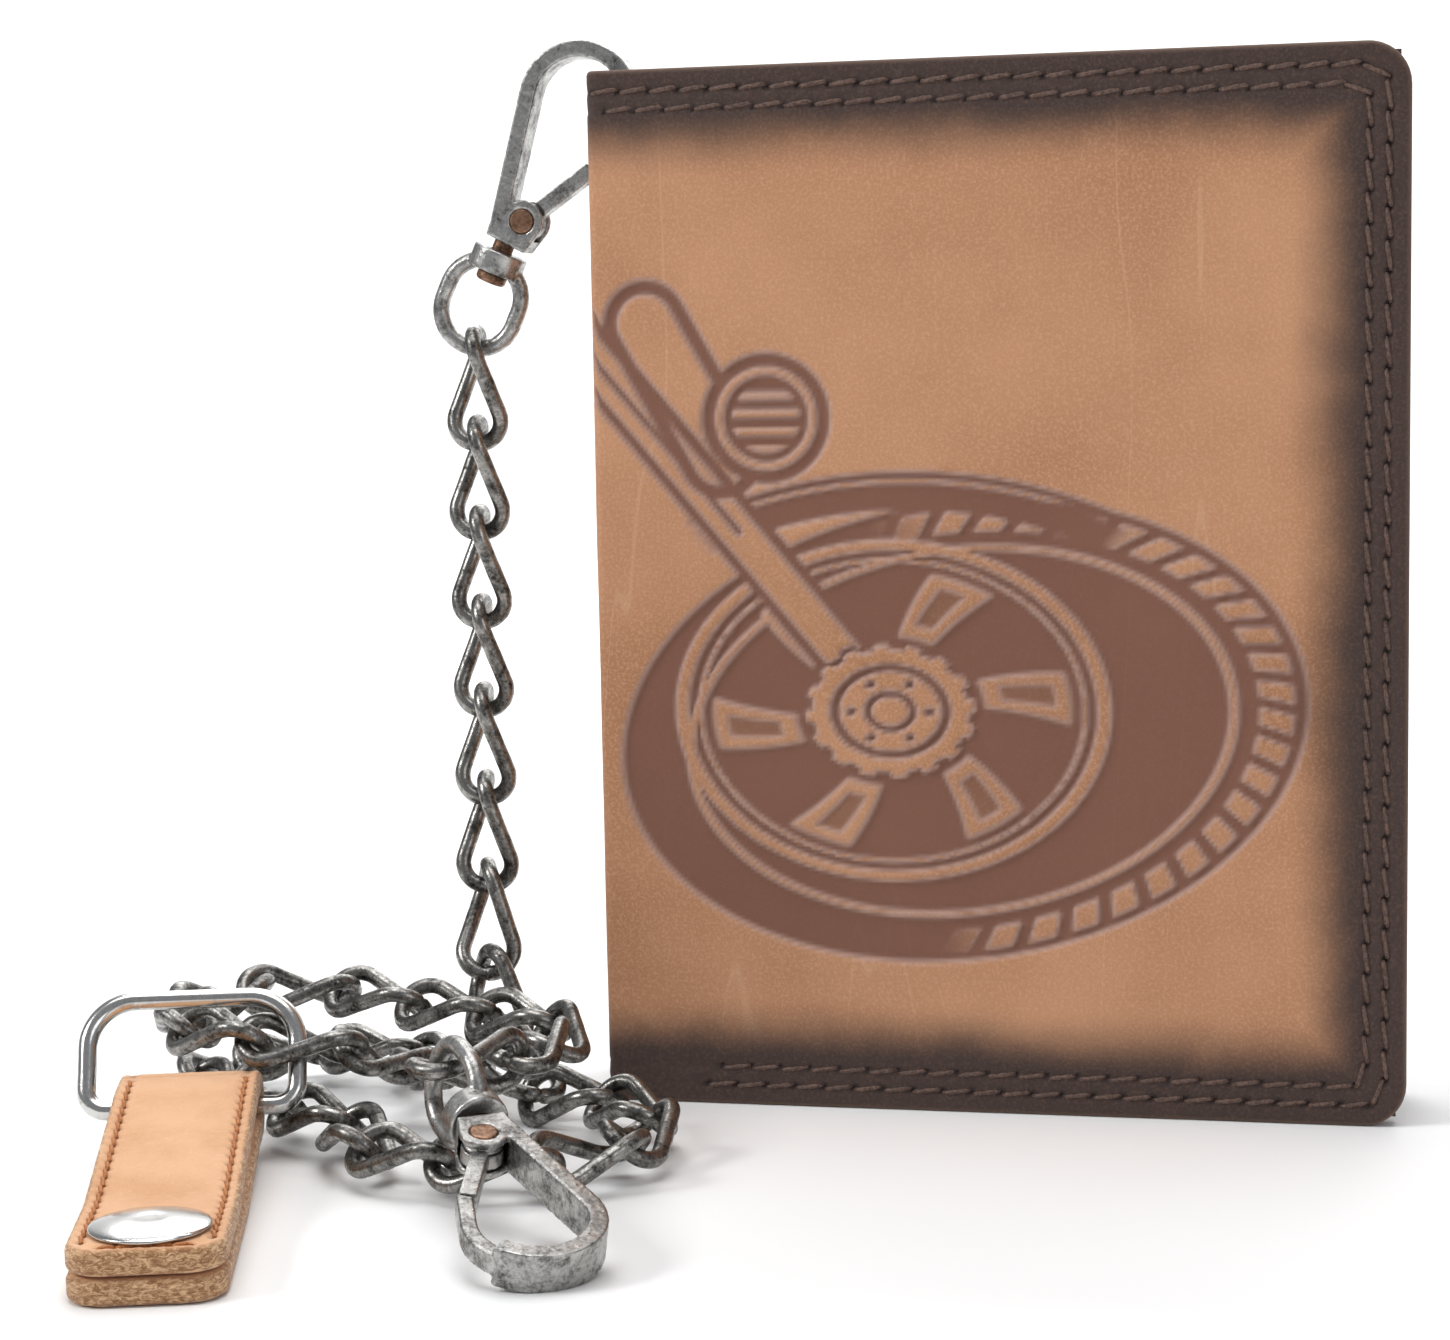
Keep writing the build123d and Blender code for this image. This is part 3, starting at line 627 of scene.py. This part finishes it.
def walk(dense, pitch, offset=0.0):
    """Points a fixed pitch apart along a dense path, with their directions."""
    found, travelled, target = [], 0.0, offset
    for a, b in zip(dense, dense[1:]):
        length = (b - a).length
        while length > 1e-9 and travelled + length >= target:
            found.append((a.lerp(b, (target - travelled) / length), (b - a).normalized()))
            target += pitch
        travelled += length
    return found


sewn_rows = [walk(sewn_path(ROW_OUT, 11.5), STITCH), walk(sewn_path(ROW_IN, 13.0), STITCH, STITCH * 0.5)]
hole_cells = needle_marks([(p.x, p.y) for row in sewn_rows for p, _ in row])


def burnish(a, z, gap):
    """How burnished the leather is: along the sewn edges and the foot of the spine."""
    edge = 1 - min(max((gap - BORDER * 0.55) / (BORDER * 0.95), 0.0), 1.0)
    foot = (1 - step(2, 17, a - SPINE_X + z * 0.9)) * 0.8
    return max(edge, foot)


def front_relief(a, z, gap):
    """Pressed emblem with a painted highlight along its edges, grooves, needle holes with painted shade,
    and burnish of the front cover.
    """
    facts = {"burn": burnish(a, z, gap)}
    if a > SPINE_X - 0.5:
        pressed = emblem(a, z)
        around = abs(emblem(a + BEVEL, z) - emblem(a - BEVEL, z))
        around += abs(emblem(a, z + BEVEL) - emblem(a, z - BEVEL))
        facts["press"] = pressed
        # painted highlight mask: the emblem's edges, lightened in the material
        facts["bevel"] = min(around, 1.0) * (1 - pressed * 0.4)
        facts["depth"] = EMBLEM_DEPTH * pressed
    hole = hole_at(hole_cells, a, z)
    # needle-hole mask: carved as depth, and painted near black as shade in the material
    facts["hole"] = hole
    foot = 0.05 * (1 - step(0.1, 0.9, abs(a - 11.2))) * (1 - step(6, 14, z))
    wave = 0.10 * noise.noise(Vector((a * 0.05, z * 0.05, 3.1)))
    sewn = sewn_groove(gap) + HOLE_DEPTH * hole
    facts["depth"] = facts.get("depth", 0.0) + sewn + foot + wave + SKIN_DEPTH
    if a < SPINE_X + SPINE_ROUND:
        facts["depth"] *= step(SPINE_X - 4, SPINE_X + SPINE_ROUND, a)
    return facts


def back_relief(a, z, gap):
    """Grooves, needle holes with painted shade, and burnish of the plain back cover."""
    hole = hole_at(hole_cells, a, z)
    wave = 0.10 * noise.noise(Vector((a * 0.05, z * 0.05, 9.7)))
    depth = sewn_groove(gap) + HOLE_DEPTH * hole + wave + SKIN_DEPTH
    depth *= step(SPINE_X - 2, SPINE_X + 3, a)
    return {"burn": burnish(a, z, gap), "hole": hole, "depth": depth}


def cover_rows(spine_run, pitch):
    """Flat grid rows of a cover that wraps the spine for a given run."""
    start = SPINE_X + SPINE_ROUND - SPINE_ROUND * pi / 2 - spine_run
    lane = frange(start, FORE_X - RIM_STEPS[-1], pitch)
    rows = []
    heights = sorted(set([round(v, 4) for v in cover_heights()]
                         + [round(v, 4) for r in RIM_STEPS for v in (r, HEIGHT - r)]))
    for z in heights:
        reach = row_reach(z)
        scale = (reach - RIM_STEPS[-1] - start) / (FORE_X - RIM_STEPS[-1] - start)
        row = [(start + (a - start) * scale, z) for a in lane]
        row += [(reach - r, z) for r in reversed(RIM_STEPS[:-1])]
        rows.append(row)
    return rows


def in_eyelet(a, z):
    """True where the eyelet's hole goes through the spine."""
    run = SPINE_X + SPINE_ROUND - SPINE_ROUND * pi / 2 - a
    y = FRONT_Y + SPINE_ROUND + run
    return run > 0 and hypot(y, z - EYELET_Z) < HOLE_R


front_run = SPINE_SPLIT - (FRONT_Y + SPINE_ROUND)
front_piece = slab("cover_front", cover_rows(front_run, PANEL), bend(-1), LEATHER, outline_gap, COVER,
                   front_relief, skip=in_eyelet)
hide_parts("front_cover")
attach(front_piece, "front_half")

back_run = BACK_Y - SPINE_ROUND - SPINE_SPLIT
back_rows = [list(reversed(row)) for row in cover_rows(back_run, 0.6)]
back_piece = slab("cover_back", back_rows, bend(1), LEATHER, outline_gap, COVER, back_relief)
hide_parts("back_cover")
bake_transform(back_piece)


def cover_spots(y_sign):
    """Stitch centres, directions and normals on one cover."""
    face_y = FRONT_Y if y_sign < 0 else BACK_Y
    spots = []
    for row in sewn_rows:
        for (a, _), (b, _) in zip(row, row[1:]):
            middle = (a + b) / 2
            along = (b - a).normalized()
            if (b - a).length < STITCH * 0.6:
                continue
            centre = Vector((middle.x, face_y - y_sign * 0.3, middle.y))
            spots.append((centre, Vector((along.x, 0, along.y)), Vector((0, y_sign, 0))))
    return spots


for side, y_sign, body in (("front", -1, "front_half"), ("back", 1, "back_half")):
    points, faces = stitches(cover_spots(y_sign), 0.36, 0.3, STITCH * 0.9)
    seam = make_object(f"seam_{side}", points, faces, DARK_THREAD)
    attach(seam, body)


# ---- Chain ------------------------------------------------------------------------
WIRE = 1.95
LINK_HALF = 6.9
BOW = 4.3
BOW_R = 3.15
GRIP = 2.7
CHAIN_X = -17.6
HANGING = [(-90, -89, 0)] * 4 + [(-88, -89, 0), (-84, -87, 0), (-76, -70, 0), (-62, -46, 5)]
HEAP = [
    (-47, -19, 15), (-25, 5, 28), (-48, 0, 40), (-89, 0, 44),
    (-132, 0, 50), (-174, 0, 46), (158, 0, 42), (122, 0, 42),
    (146, 0, 46), (165, 0, 45), (121, 0, 42), (77, 0, 42),
    (34, 0, 46), (-9, 0, 44), (-52, 2, 42), (-84, 14, 42),
    (-122, 22, 45), (-163, 7, 45), (155, 0, 45), (111, 0, 45),
    (67, 0, 42), (23, -3, 42), (-20, -3, 42), (-20, 0, 42),
    (-30, 0, 40), (-70, 0, 30), (-95, 5, 18), (-128, 5, 5),
]
HEAP_GROUP = 4


def link_axes(heading, climb, roll):
    """A link's run, across and third directions."""
    head, rise, spin = radians(heading), radians(climb), radians(roll)
    run = Vector((cos(rise) * cos(head), cos(rise) * sin(head), sin(rise)))
    side = Vector((sin(head), -cos(head), 0))
    across = side * cos(spin) + side.cross(run) * sin(spin)
    return run, across, (-run).cross(across)


def hang_chain(top, route):
    """Centre and axes of each link, each hooked in the bow of the one before."""
    places = []
    for heading, climb, roll in route:
        run, across, third = link_axes(heading, climb, roll)
        if places:
            last_centre, last_run, last_across, _ = places[-1]
            swing = last_run.cross(run)
            along = swing.dot(last_across) ** 2
            square = swing.dot(third) ** 2
            share = square / (along + square) if along + square > 1e-12 else 0.5
            pull = last_run * share + run * (1 - share)
            top = last_centre + last_run * LINK_HALF - pull * GRIP
        places.append((top + run * LINK_HALF, run, across, third))
    return places


def filled(start, end, pitch):
    """Points on the straight run between start and end, both left out."""
    reach = (end - start).length
    if reach <= pitch:
        return []
    first, stride = int(100 * pitch), max(1, int(100 * pitch / reach))
    return [start.lerp(end, t / 100) for t in range(first, 100, stride)][:-1]


def rounded_loop(corners, radius, pitch):
    """A closed polyline with round corners, as points about a pitch apart."""
    path = []
    count = len(corners)
    for k in range(count):
        before, here, after = corners[k - 1], corners[k], corners[(k + 1) % count]
        into, out = (before - here).normalized(), (after - here).normalized()
        bend_angle = pi - into.angle(out)
        trim = radius * tan(bend_angle / 2)
        start, end = here + into * trim, here + out * trim
        centre = here + (into + out).normalized() * radius / cos(bend_angle / 2)
        if path:
            path += filled(path[-1], start, pitch)
        steps = max(4, ceil(radius * bend_angle / pitch))
        first, last = start - centre, end - centre
        for t in range(steps + 1):
            share = t / steps
            point = first * sin((1 - share) * bend_angle) + last * sin(share * bend_angle)
            path.append(centre + point / sin(bend_angle))
    gap = (path[0] - path[-1]).length
    count_gap = int(gap / pitch)
    path += [path[-1].lerp(path[0], t / (count_gap + 1)) for t in range(1, count_gap + 1)]
    return path


def link_path():
    """The wire's centre line: two bows at right angles."""
    corners = [Vector((-BOW, 0, -LINK_HALF)), Vector((BOW, 0, -LINK_HALF)),
               Vector((0, -BOW, LINK_HALF)), Vector((0, BOW, LINK_HALF))]
    return rounded_loop(corners, BOW_R, 0.45)


LINK_PATH = link_path()


def link_mesh(place, number):
    """One link with its butt seam at the lower bow and slightly uneven wire."""
    centre, run, across, third = place
    world = []
    for p in LINK_PATH:
        world.append(centre + across * p.x + third * p.y - run * p.z)
    butt = Vector((0.6, 0, -LINK_HALF))
    seam_at = min(range(len(LINK_PATH)), key=lambda k: (LINK_PATH[k] - butt).length)
    taper = []
    for k in range(len(world)):
        away = min(abs(k - seam_at), len(world) - abs(k - seam_at))
        notch = 0.74 if away == 0 else 0.97 if away == 1 else 1.0
        taper.append(notch * (1 + 0.012 * sin(k * 0.7 + number * 1.9)))
    return tube(world, WIRE / 2, 14, closed=True, taper=taper)


top_z = box_mm("chain_link_01")[1].z - WIRE / 2
chain = hang_chain(Vector((CHAIN_X, 0, top_z)), HANGING + HEAP)
for number in range(len(HANGING)):
    node = f"chain_link_{number + 1:02d}"
    points, faces = link_mesh(chain[number], number)
    link = make_object(f"link_{number + 1:02d}", points, faces, CHAIN_METAL)
    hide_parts(node)
    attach(link, f"link_{number + 1}")
for first in range(len(HANGING), len(chain), HEAP_GROUP):
    last = first + HEAP_GROUP
    group = [link_mesh(chain[k], k) for k in range(first, last)]
    points, faces = join(group)
    heap_piece = make_object(f"heap_links_{first + 1:02d}", points, faces, CHAIN_METAL)
    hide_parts(f"chain_links_{first + 1:02d}_to_{last:02d}")
    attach(heap_piece, "heap")


# ---- Cast hooks and fittings ------------------------------------------------------
def apply_modifiers(piece):
    """Bake a piece's modifiers into its mesh."""
    graph = bpy.context.evaluated_depsgraph_get()
    mesh = bpy.data.meshes.new_from_object(piece.evaluated_get(graph))
    piece.modifiers.clear()
    piece.data = mesh


def soften(node, name, body, slot, voxel, rounds, roughness=0.0):
    """A cast copy of a CAD piece: even small faces, eased edges and a faint rough skin."""
    piece = bpy.data.objects.new(name, NODES[node].data.copy())
    bpy.context.scene.collection.objects.link(piece)
    remesh = piece.modifiers.new("even", "REMESH")
    remesh.mode = "VOXEL"
    remesh.voxel_size = voxel * MM
    remesh.use_smooth_shade = True
    ease = piece.modifiers.new("ease", "SMOOTH")
    ease.factor = 0.5
    ease.iterations = rounds
    apply_modifiers(piece)
    mesh = piece.data
    if roughness:
        normals = [vertex.normal.copy() for vertex in mesh.vertices]
        for vertex, normal in zip(mesh.vertices, normals):
            at = vertex.co / MM
            vertex.co += normal * (noise.noise(at * 2.2) + 0.5 * noise.noise(at * 5.1)) * roughness * MM
    mesh.materials.clear()
    mesh.materials.append(SLOT_MATERIAL[slot])
    mesh.polygons.foreach_set("use_smooth", [True] * len(mesh.polygons))
    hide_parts(node)
    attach(piece, body)
    return piece


for n in (1, 2):
    soften(f"hook_{n}_body", f"hook_{n}_casting", f"hook_{n}", "hook_nickel", 0.16, 5, 0.035)
    soften(f"hook_{n}_gate", f"hook_{n}_gate_bar", f"hook_{n}_latch", "hook_nickel", 0.13, 4, 0.02)
    soften(f"hook_{n}_swivel_eye", f"hook_{n}_eye_casting", f"hook_{n}_swivel", "hook_nickel",
           0.14, 5, 0.02)
    soften(f"hook_{n}_swivel_post", f"hook_{n}_post_pin", f"hook_{n}", "rivet_brass", 0.12, 4)
    soften(f"hook_{n}_rivet", f"hook_{n}_rivet_pin", f"hook_{n}", "rivet_brass", 0.12, 4)
soften("tab_ring", "tab_ring_wire", "heap", "fitting_nickel", 0.16, 6)
soften("eyelet_barrel", "eyelet_rolled", "front_half", "fitting_nickel", 0.10, 4)


# ---- Snap tab ---------------------------------------------------------------------
TAB_YAW = radians(17)
TAB_FOLD = Vector((-41.0, -43.0, 6.5))
TAB_WIDTH = 16.0
TAB_LENGTH = 52.0
TAB_LEATHER = 2.8
TAB_FOLD_R = 2.7
TAB_CORNER = 4.0
TAB_SPLIT = 1.0
LOWER_Z = 1.42
UPPER_Z = 4.5
tab_run = Vector((sin(TAB_YAW), -cos(TAB_YAW), 0))
tab_across = Vector((cos(TAB_YAW), sin(TAB_YAW), 0))
tab_foot = Vector((TAB_FOLD.x, TAB_FOLD.y, 0))


def strap_line(points, radius):
    """An open side profile with round corners, as dense points."""
    path = [points[0]]
    for before, here, after in zip(points, points[1:], points[2:]):
        into, out = (before - here).normalized(), (after - here).normalized()
        bend_angle = pi - into.angle(out)
        trim = radius * tan(bend_angle / 2)
        start, end = here + into * trim, here + out * trim
        path += [path[-1].lerp(start, k / 24) for k in range(1, 25)]
        path += [start.lerp(here, t / 8).lerp(here.lerp(end, t / 8), t / 8) for t in range(1, 9)]
    path += [path[-1].lerp(points[-1], k / 24) for k in range(1, 25)]
    return path


def arc_points(centre, radius, start, end, count):
    """Points on an arc in the side profile."""
    return [centre + Vector((cos(radians(start + (end - start) * k / count)),
                             sin(radians(start + (end - start) * k / count)))) * radius
            for k in range(count + 1)]


def strap(name, line, material, top_side):
    """A strap along a side profile. top_side is +1 where the outer face is on the left of the run."""
    length = [0.0]
    for a, b in zip(line, line[1:]):
        length.append(length[-1] + (b - a).length)
    total = length[-1]

    def at(s):
        s = min(max(s, 0.0), total)
        k = 0
        while k < len(line) - 2 and length[k + 1] < s:
            k += 1
        t = (s - length[k]) / max(length[k + 1] - length[k], 1e-9)
        here = line[k].lerp(line[k + 1], t)
        low, high = max(k - 1, 0), min(k + 2, len(line) - 1)
        run = (line[high] - line[low]).normalized()
        return here, Vector((-run.y, run.x)) * top_side

    def place(s, w, depth):
        here, out = at(s)
        spot = here + out * (TAB_LEATHER / 2 - depth)
        return tab_foot + tab_across * w + tab_run * spot.x + Vector((0, 0, spot.y))

    def half_width(s):
        left = total - s
        if left >= TAB_CORNER:
            return TAB_WIDTH / 2
        return TAB_WIDTH / 2 - TAB_CORNER + sqrt(max(TAB_CORNER ** 2 - (TAB_CORNER - left) ** 2, 0.0))

    def gap(s, w):
        left, side = total - s, TAB_WIDTH / 2 - abs(w)
        if left < TAB_CORNER and side < TAB_CORNER:
            return TAB_CORNER - hypot(TAB_CORNER - left, TAB_CORNER - side)
        return min(left, side)

    spots = []
    inset = 1.5
    edge_end = total - inset - 2.2
    for side in (-1, 1):
        for s in frange(1.2, edge_end, 2.1):
            spots.append((s, side * (TAB_WIDTH / 2 - inset)))
    for w in frange(-TAB_WIDTH / 2 + 3.4, TAB_WIDTH / 2 - 3.4, 2.1):
        spots.append((total - inset, w))
    cells = needle_marks(spots)

    def relief(s, w, rim_gap):
        hole = hole_at(cells, s, w)
        groove = 0.16 * ring_mask(rim_gap, inset - 0.5, inset + 0.5, 0.25)
        fuzz = 0.07 * noise.noise(Vector((s * 1.3, w * 1.3, top_side * 4.0)))
        fuzz += 0.12 * noise.noise(Vector((s * 3.1, w * 3.1, 2.0))) * (1 - step(0.2, 1.4, rim_gap))
        # the needle-hole mask sinks the holes and darkens them as painted shade in the material
        return {"depth": groove + 0.2 * hole + fuzz + 0.08, "hole": hole * 0.7}

    rows = []
    tip = [total - TAB_CORNER * (1 - cos(radians(t))) for t in range(90, -1, -6)]
    for s in frange(0, total - TAB_CORNER, 0.45)[:-1] + tip:
        half = half_width(s)
        flat = TAB_WIDTH - 2 * RIM_STEPS[-1]
        wide = [-TAB_WIDTH / 2 + r for r in RIM_STEPS]
        wide += [flat * k / 34 - flat / 2 for k in range(1, 34)]
        wide += [TAB_WIDTH / 2 - r for r in reversed(RIM_STEPS)]
        rows.append([(s, w * half / (TAB_WIDTH / 2)) for w in wide])
    if top_side < 0:
        rows = [list(reversed(row)) for row in rows]
    piece = slab(name, rows, place, TAB_LEATHER, gap, material, relief, round_r=0.75)
    threads = []
    for (s, w), (s2, w2) in zip(spots, spots[1:]):
        if hypot(s2 - s, w2 - w) > 3:
            continue
        a, b = place(s, w, 0.22), place(s2, w2, 0.22)
        here, out = at((s + s2) / 2)
        normal = (tab_run * out.x + Vector((0, 0, out.y))).normalized()
        threads.append(((a + b) / 2, (b - a).normalized(), normal))
    return piece, threads


fold_low, fold_high = TAB_FOLD.z - TAB_FOLD_R, TAB_FOLD.z + TAB_FOLD_R
lower_line = arc_points(Vector((-0.1, TAB_FOLD.z)), TAB_FOLD_R, 90, 270, 28)
lower_line = [Vector((TAB_SPLIT, fold_high))] + lower_line
lower_line += strap_line([Vector((-0.1, fold_low)), Vector((5, fold_low)), Vector((24, LOWER_Z)),
                          Vector((TAB_LENGTH, LOWER_Z))], 20.0)[1:]
upper_line = strap_line([Vector((TAB_SPLIT, fold_high)), Vector((5, fold_high)), Vector((34, UPPER_Z)),
                         Vector((TAB_LENGTH, UPPER_Z))], 20.0)
lower_strap, lower_threads = strap("tab_strap_lower", lower_line, TAB, -1)
upper_strap, upper_threads = strap("tab_strap_upper", upper_line, TAB, 1)
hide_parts("tab_lower_flap")
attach(lower_strap, "tab")
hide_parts("tab_upper_flap")
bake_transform(upper_strap)
points, faces = stitches(lower_threads, 0.3, 0.24, 1.9)
lower_seam = make_object("tab_seam_lower", points, faces, TAB_THREAD)
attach(lower_seam, "tab")
points, faces = stitches(upper_threads, 0.3, 0.24, 1.9)
upper_seam = make_object("tab_seam_upper", points, faces, TAB_THREAD)
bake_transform(upper_seam)


def lathe(name, centre, profile, material, sides=72):
    """A turned piece about the vertical, from (radius, height) points."""
    points, faces = [], []
    for r, h in profile:
        for k in range(sides):
            angle = 2 * pi * k / sides
            points.append(centre + Vector((cos(angle) * r, sin(angle) * r, h)))
    for row in range(len(profile) - 1):
        for k in range(sides):
            a, b = row * sides + k, row * sides + (k + 1) % sides
            faces.append((a, b, b + sides, a + sides))
    faces.append(tuple(range(sides))[::-1])
    faces.append(tuple((len(profile) - 1) * sides + k for k in range(sides)))
    return make_object(name, points, faces, material)


cap_low, cap_high = box_mm("tab_snap_cap")
cap_r = (cap_high.x - cap_low.x) / 2
cap_top = cap_high.z
cap_floor = UPPER_Z + TAB_LEATHER / 2
cap_centre = Vector(((cap_low.x + cap_high.x) / 2, (cap_low.y + cap_high.y) / 2, 0))
dome = [(1.2, cap_low.z), (1.2, cap_floor - 0.02), (cap_r - 0.5, cap_floor - 0.02),
        (cap_r - 0.08, cap_floor + 0.12), (cap_r, cap_floor + 0.3), (cap_r - 0.1, cap_floor + 0.46)]
for k in range(1, 15):
    share = k / 14
    r = (cap_r - 0.1) * (1 - share) + 0.02
    rise = (cap_top - cap_floor - 0.46) * sin(share * pi / 2) ** 0.8
    dimple = 0.16 * (1 - step(0.6, 2.2, r))
    dome.append((r, cap_floor + 0.46 + rise - dimple))
cap = lathe("snap_dome", cap_centre, dome, FITTING)
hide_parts("tab_snap_cap")
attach(cap, "tab_flap")


# ---- Floor and light --------------------------------------------------------------
def sweep_floor():
    """A pale floor that curves up into a backdrop."""
    profile = [(-3.0, 0.0), (1.0, 0.0)]
    profile += [(1.0 + sin(radians(t)) * 0.8, 0.8 - cos(radians(t)) * 0.8) for t in range(6, 91, 6)]
    profile.append((1.8, 4.0))
    points = [(x, y, z) for y, z in profile for x in (-4.0, 4.0)]
    faces = [(2 * k, 2 * k + 1, 2 * k + 3, 2 * k + 2) for k in range(len(profile) - 1)]
    mesh = bpy.data.meshes.new("floor")
    mesh.from_pydata(points, [], faces)
    mesh.polygons.foreach_set("use_smooth", [True] * len(faces))
    paper = Shader("paper")
    tone = paper.noise(3.0, 2)
    paper.set(Base_Color=paper.mix(tone, (0.86, 0.86, 0.86), (0.89, 0.89, 0.885)), Roughness=0.85)
    mesh.materials.append(paper.material)
    floor = bpy.data.objects.new("floor", mesh)
    bpy.context.scene.collection.objects.link(floor)


def area_light(name, at, look, size, power, tint=(1, 1, 1)):
    """A soft square lamp."""
    lamp = bpy.data.lights.new(name, "AREA")
    lamp.shape = "RECTANGLE"
    lamp.size, lamp.size_y = size
    lamp.energy = power
    lamp.color = tint
    holder = bpy.data.objects.new(name, lamp)
    holder.location = at
    holder.rotation_euler = (Vector(look) - Vector(at)).to_track_quat("-Z", "Y").to_euler()
    bpy.context.scene.collection.objects.link(holder)


sweep_floor()
area_light("key", (-0.85, -0.5, 0.75), (0.02, 0, 0.05), (0.35, 0.35), 6.2)
area_light("fill", (0.8, -0.7, 0.45), (0.03, 0, 0.05), (0.5, 0.6), 1.6)
area_light("top", (0.0, -0.05, 1.1), (0.02, 0, 0), (0.9, 0.7), 7.5)
area_light("rear", (-0.1, 0.75, 0.6), (0, 0, 0.05), (0.9, 0.4), 3.0)
area_light("backdrop", (0.0, 0.7, 1.3), (0.0, 1.7, 0.5), (1.6, 0.6), 22.0)
world = bpy.data.worlds.new("room")
world.use_nodes = True
world.node_tree.nodes["Background"].inputs[0].default_value = (0.93, 0.95, 1.0, 1)
world.node_tree.nodes["Background"].inputs[1].default_value = 0.3
bpy.context.scene.world = world
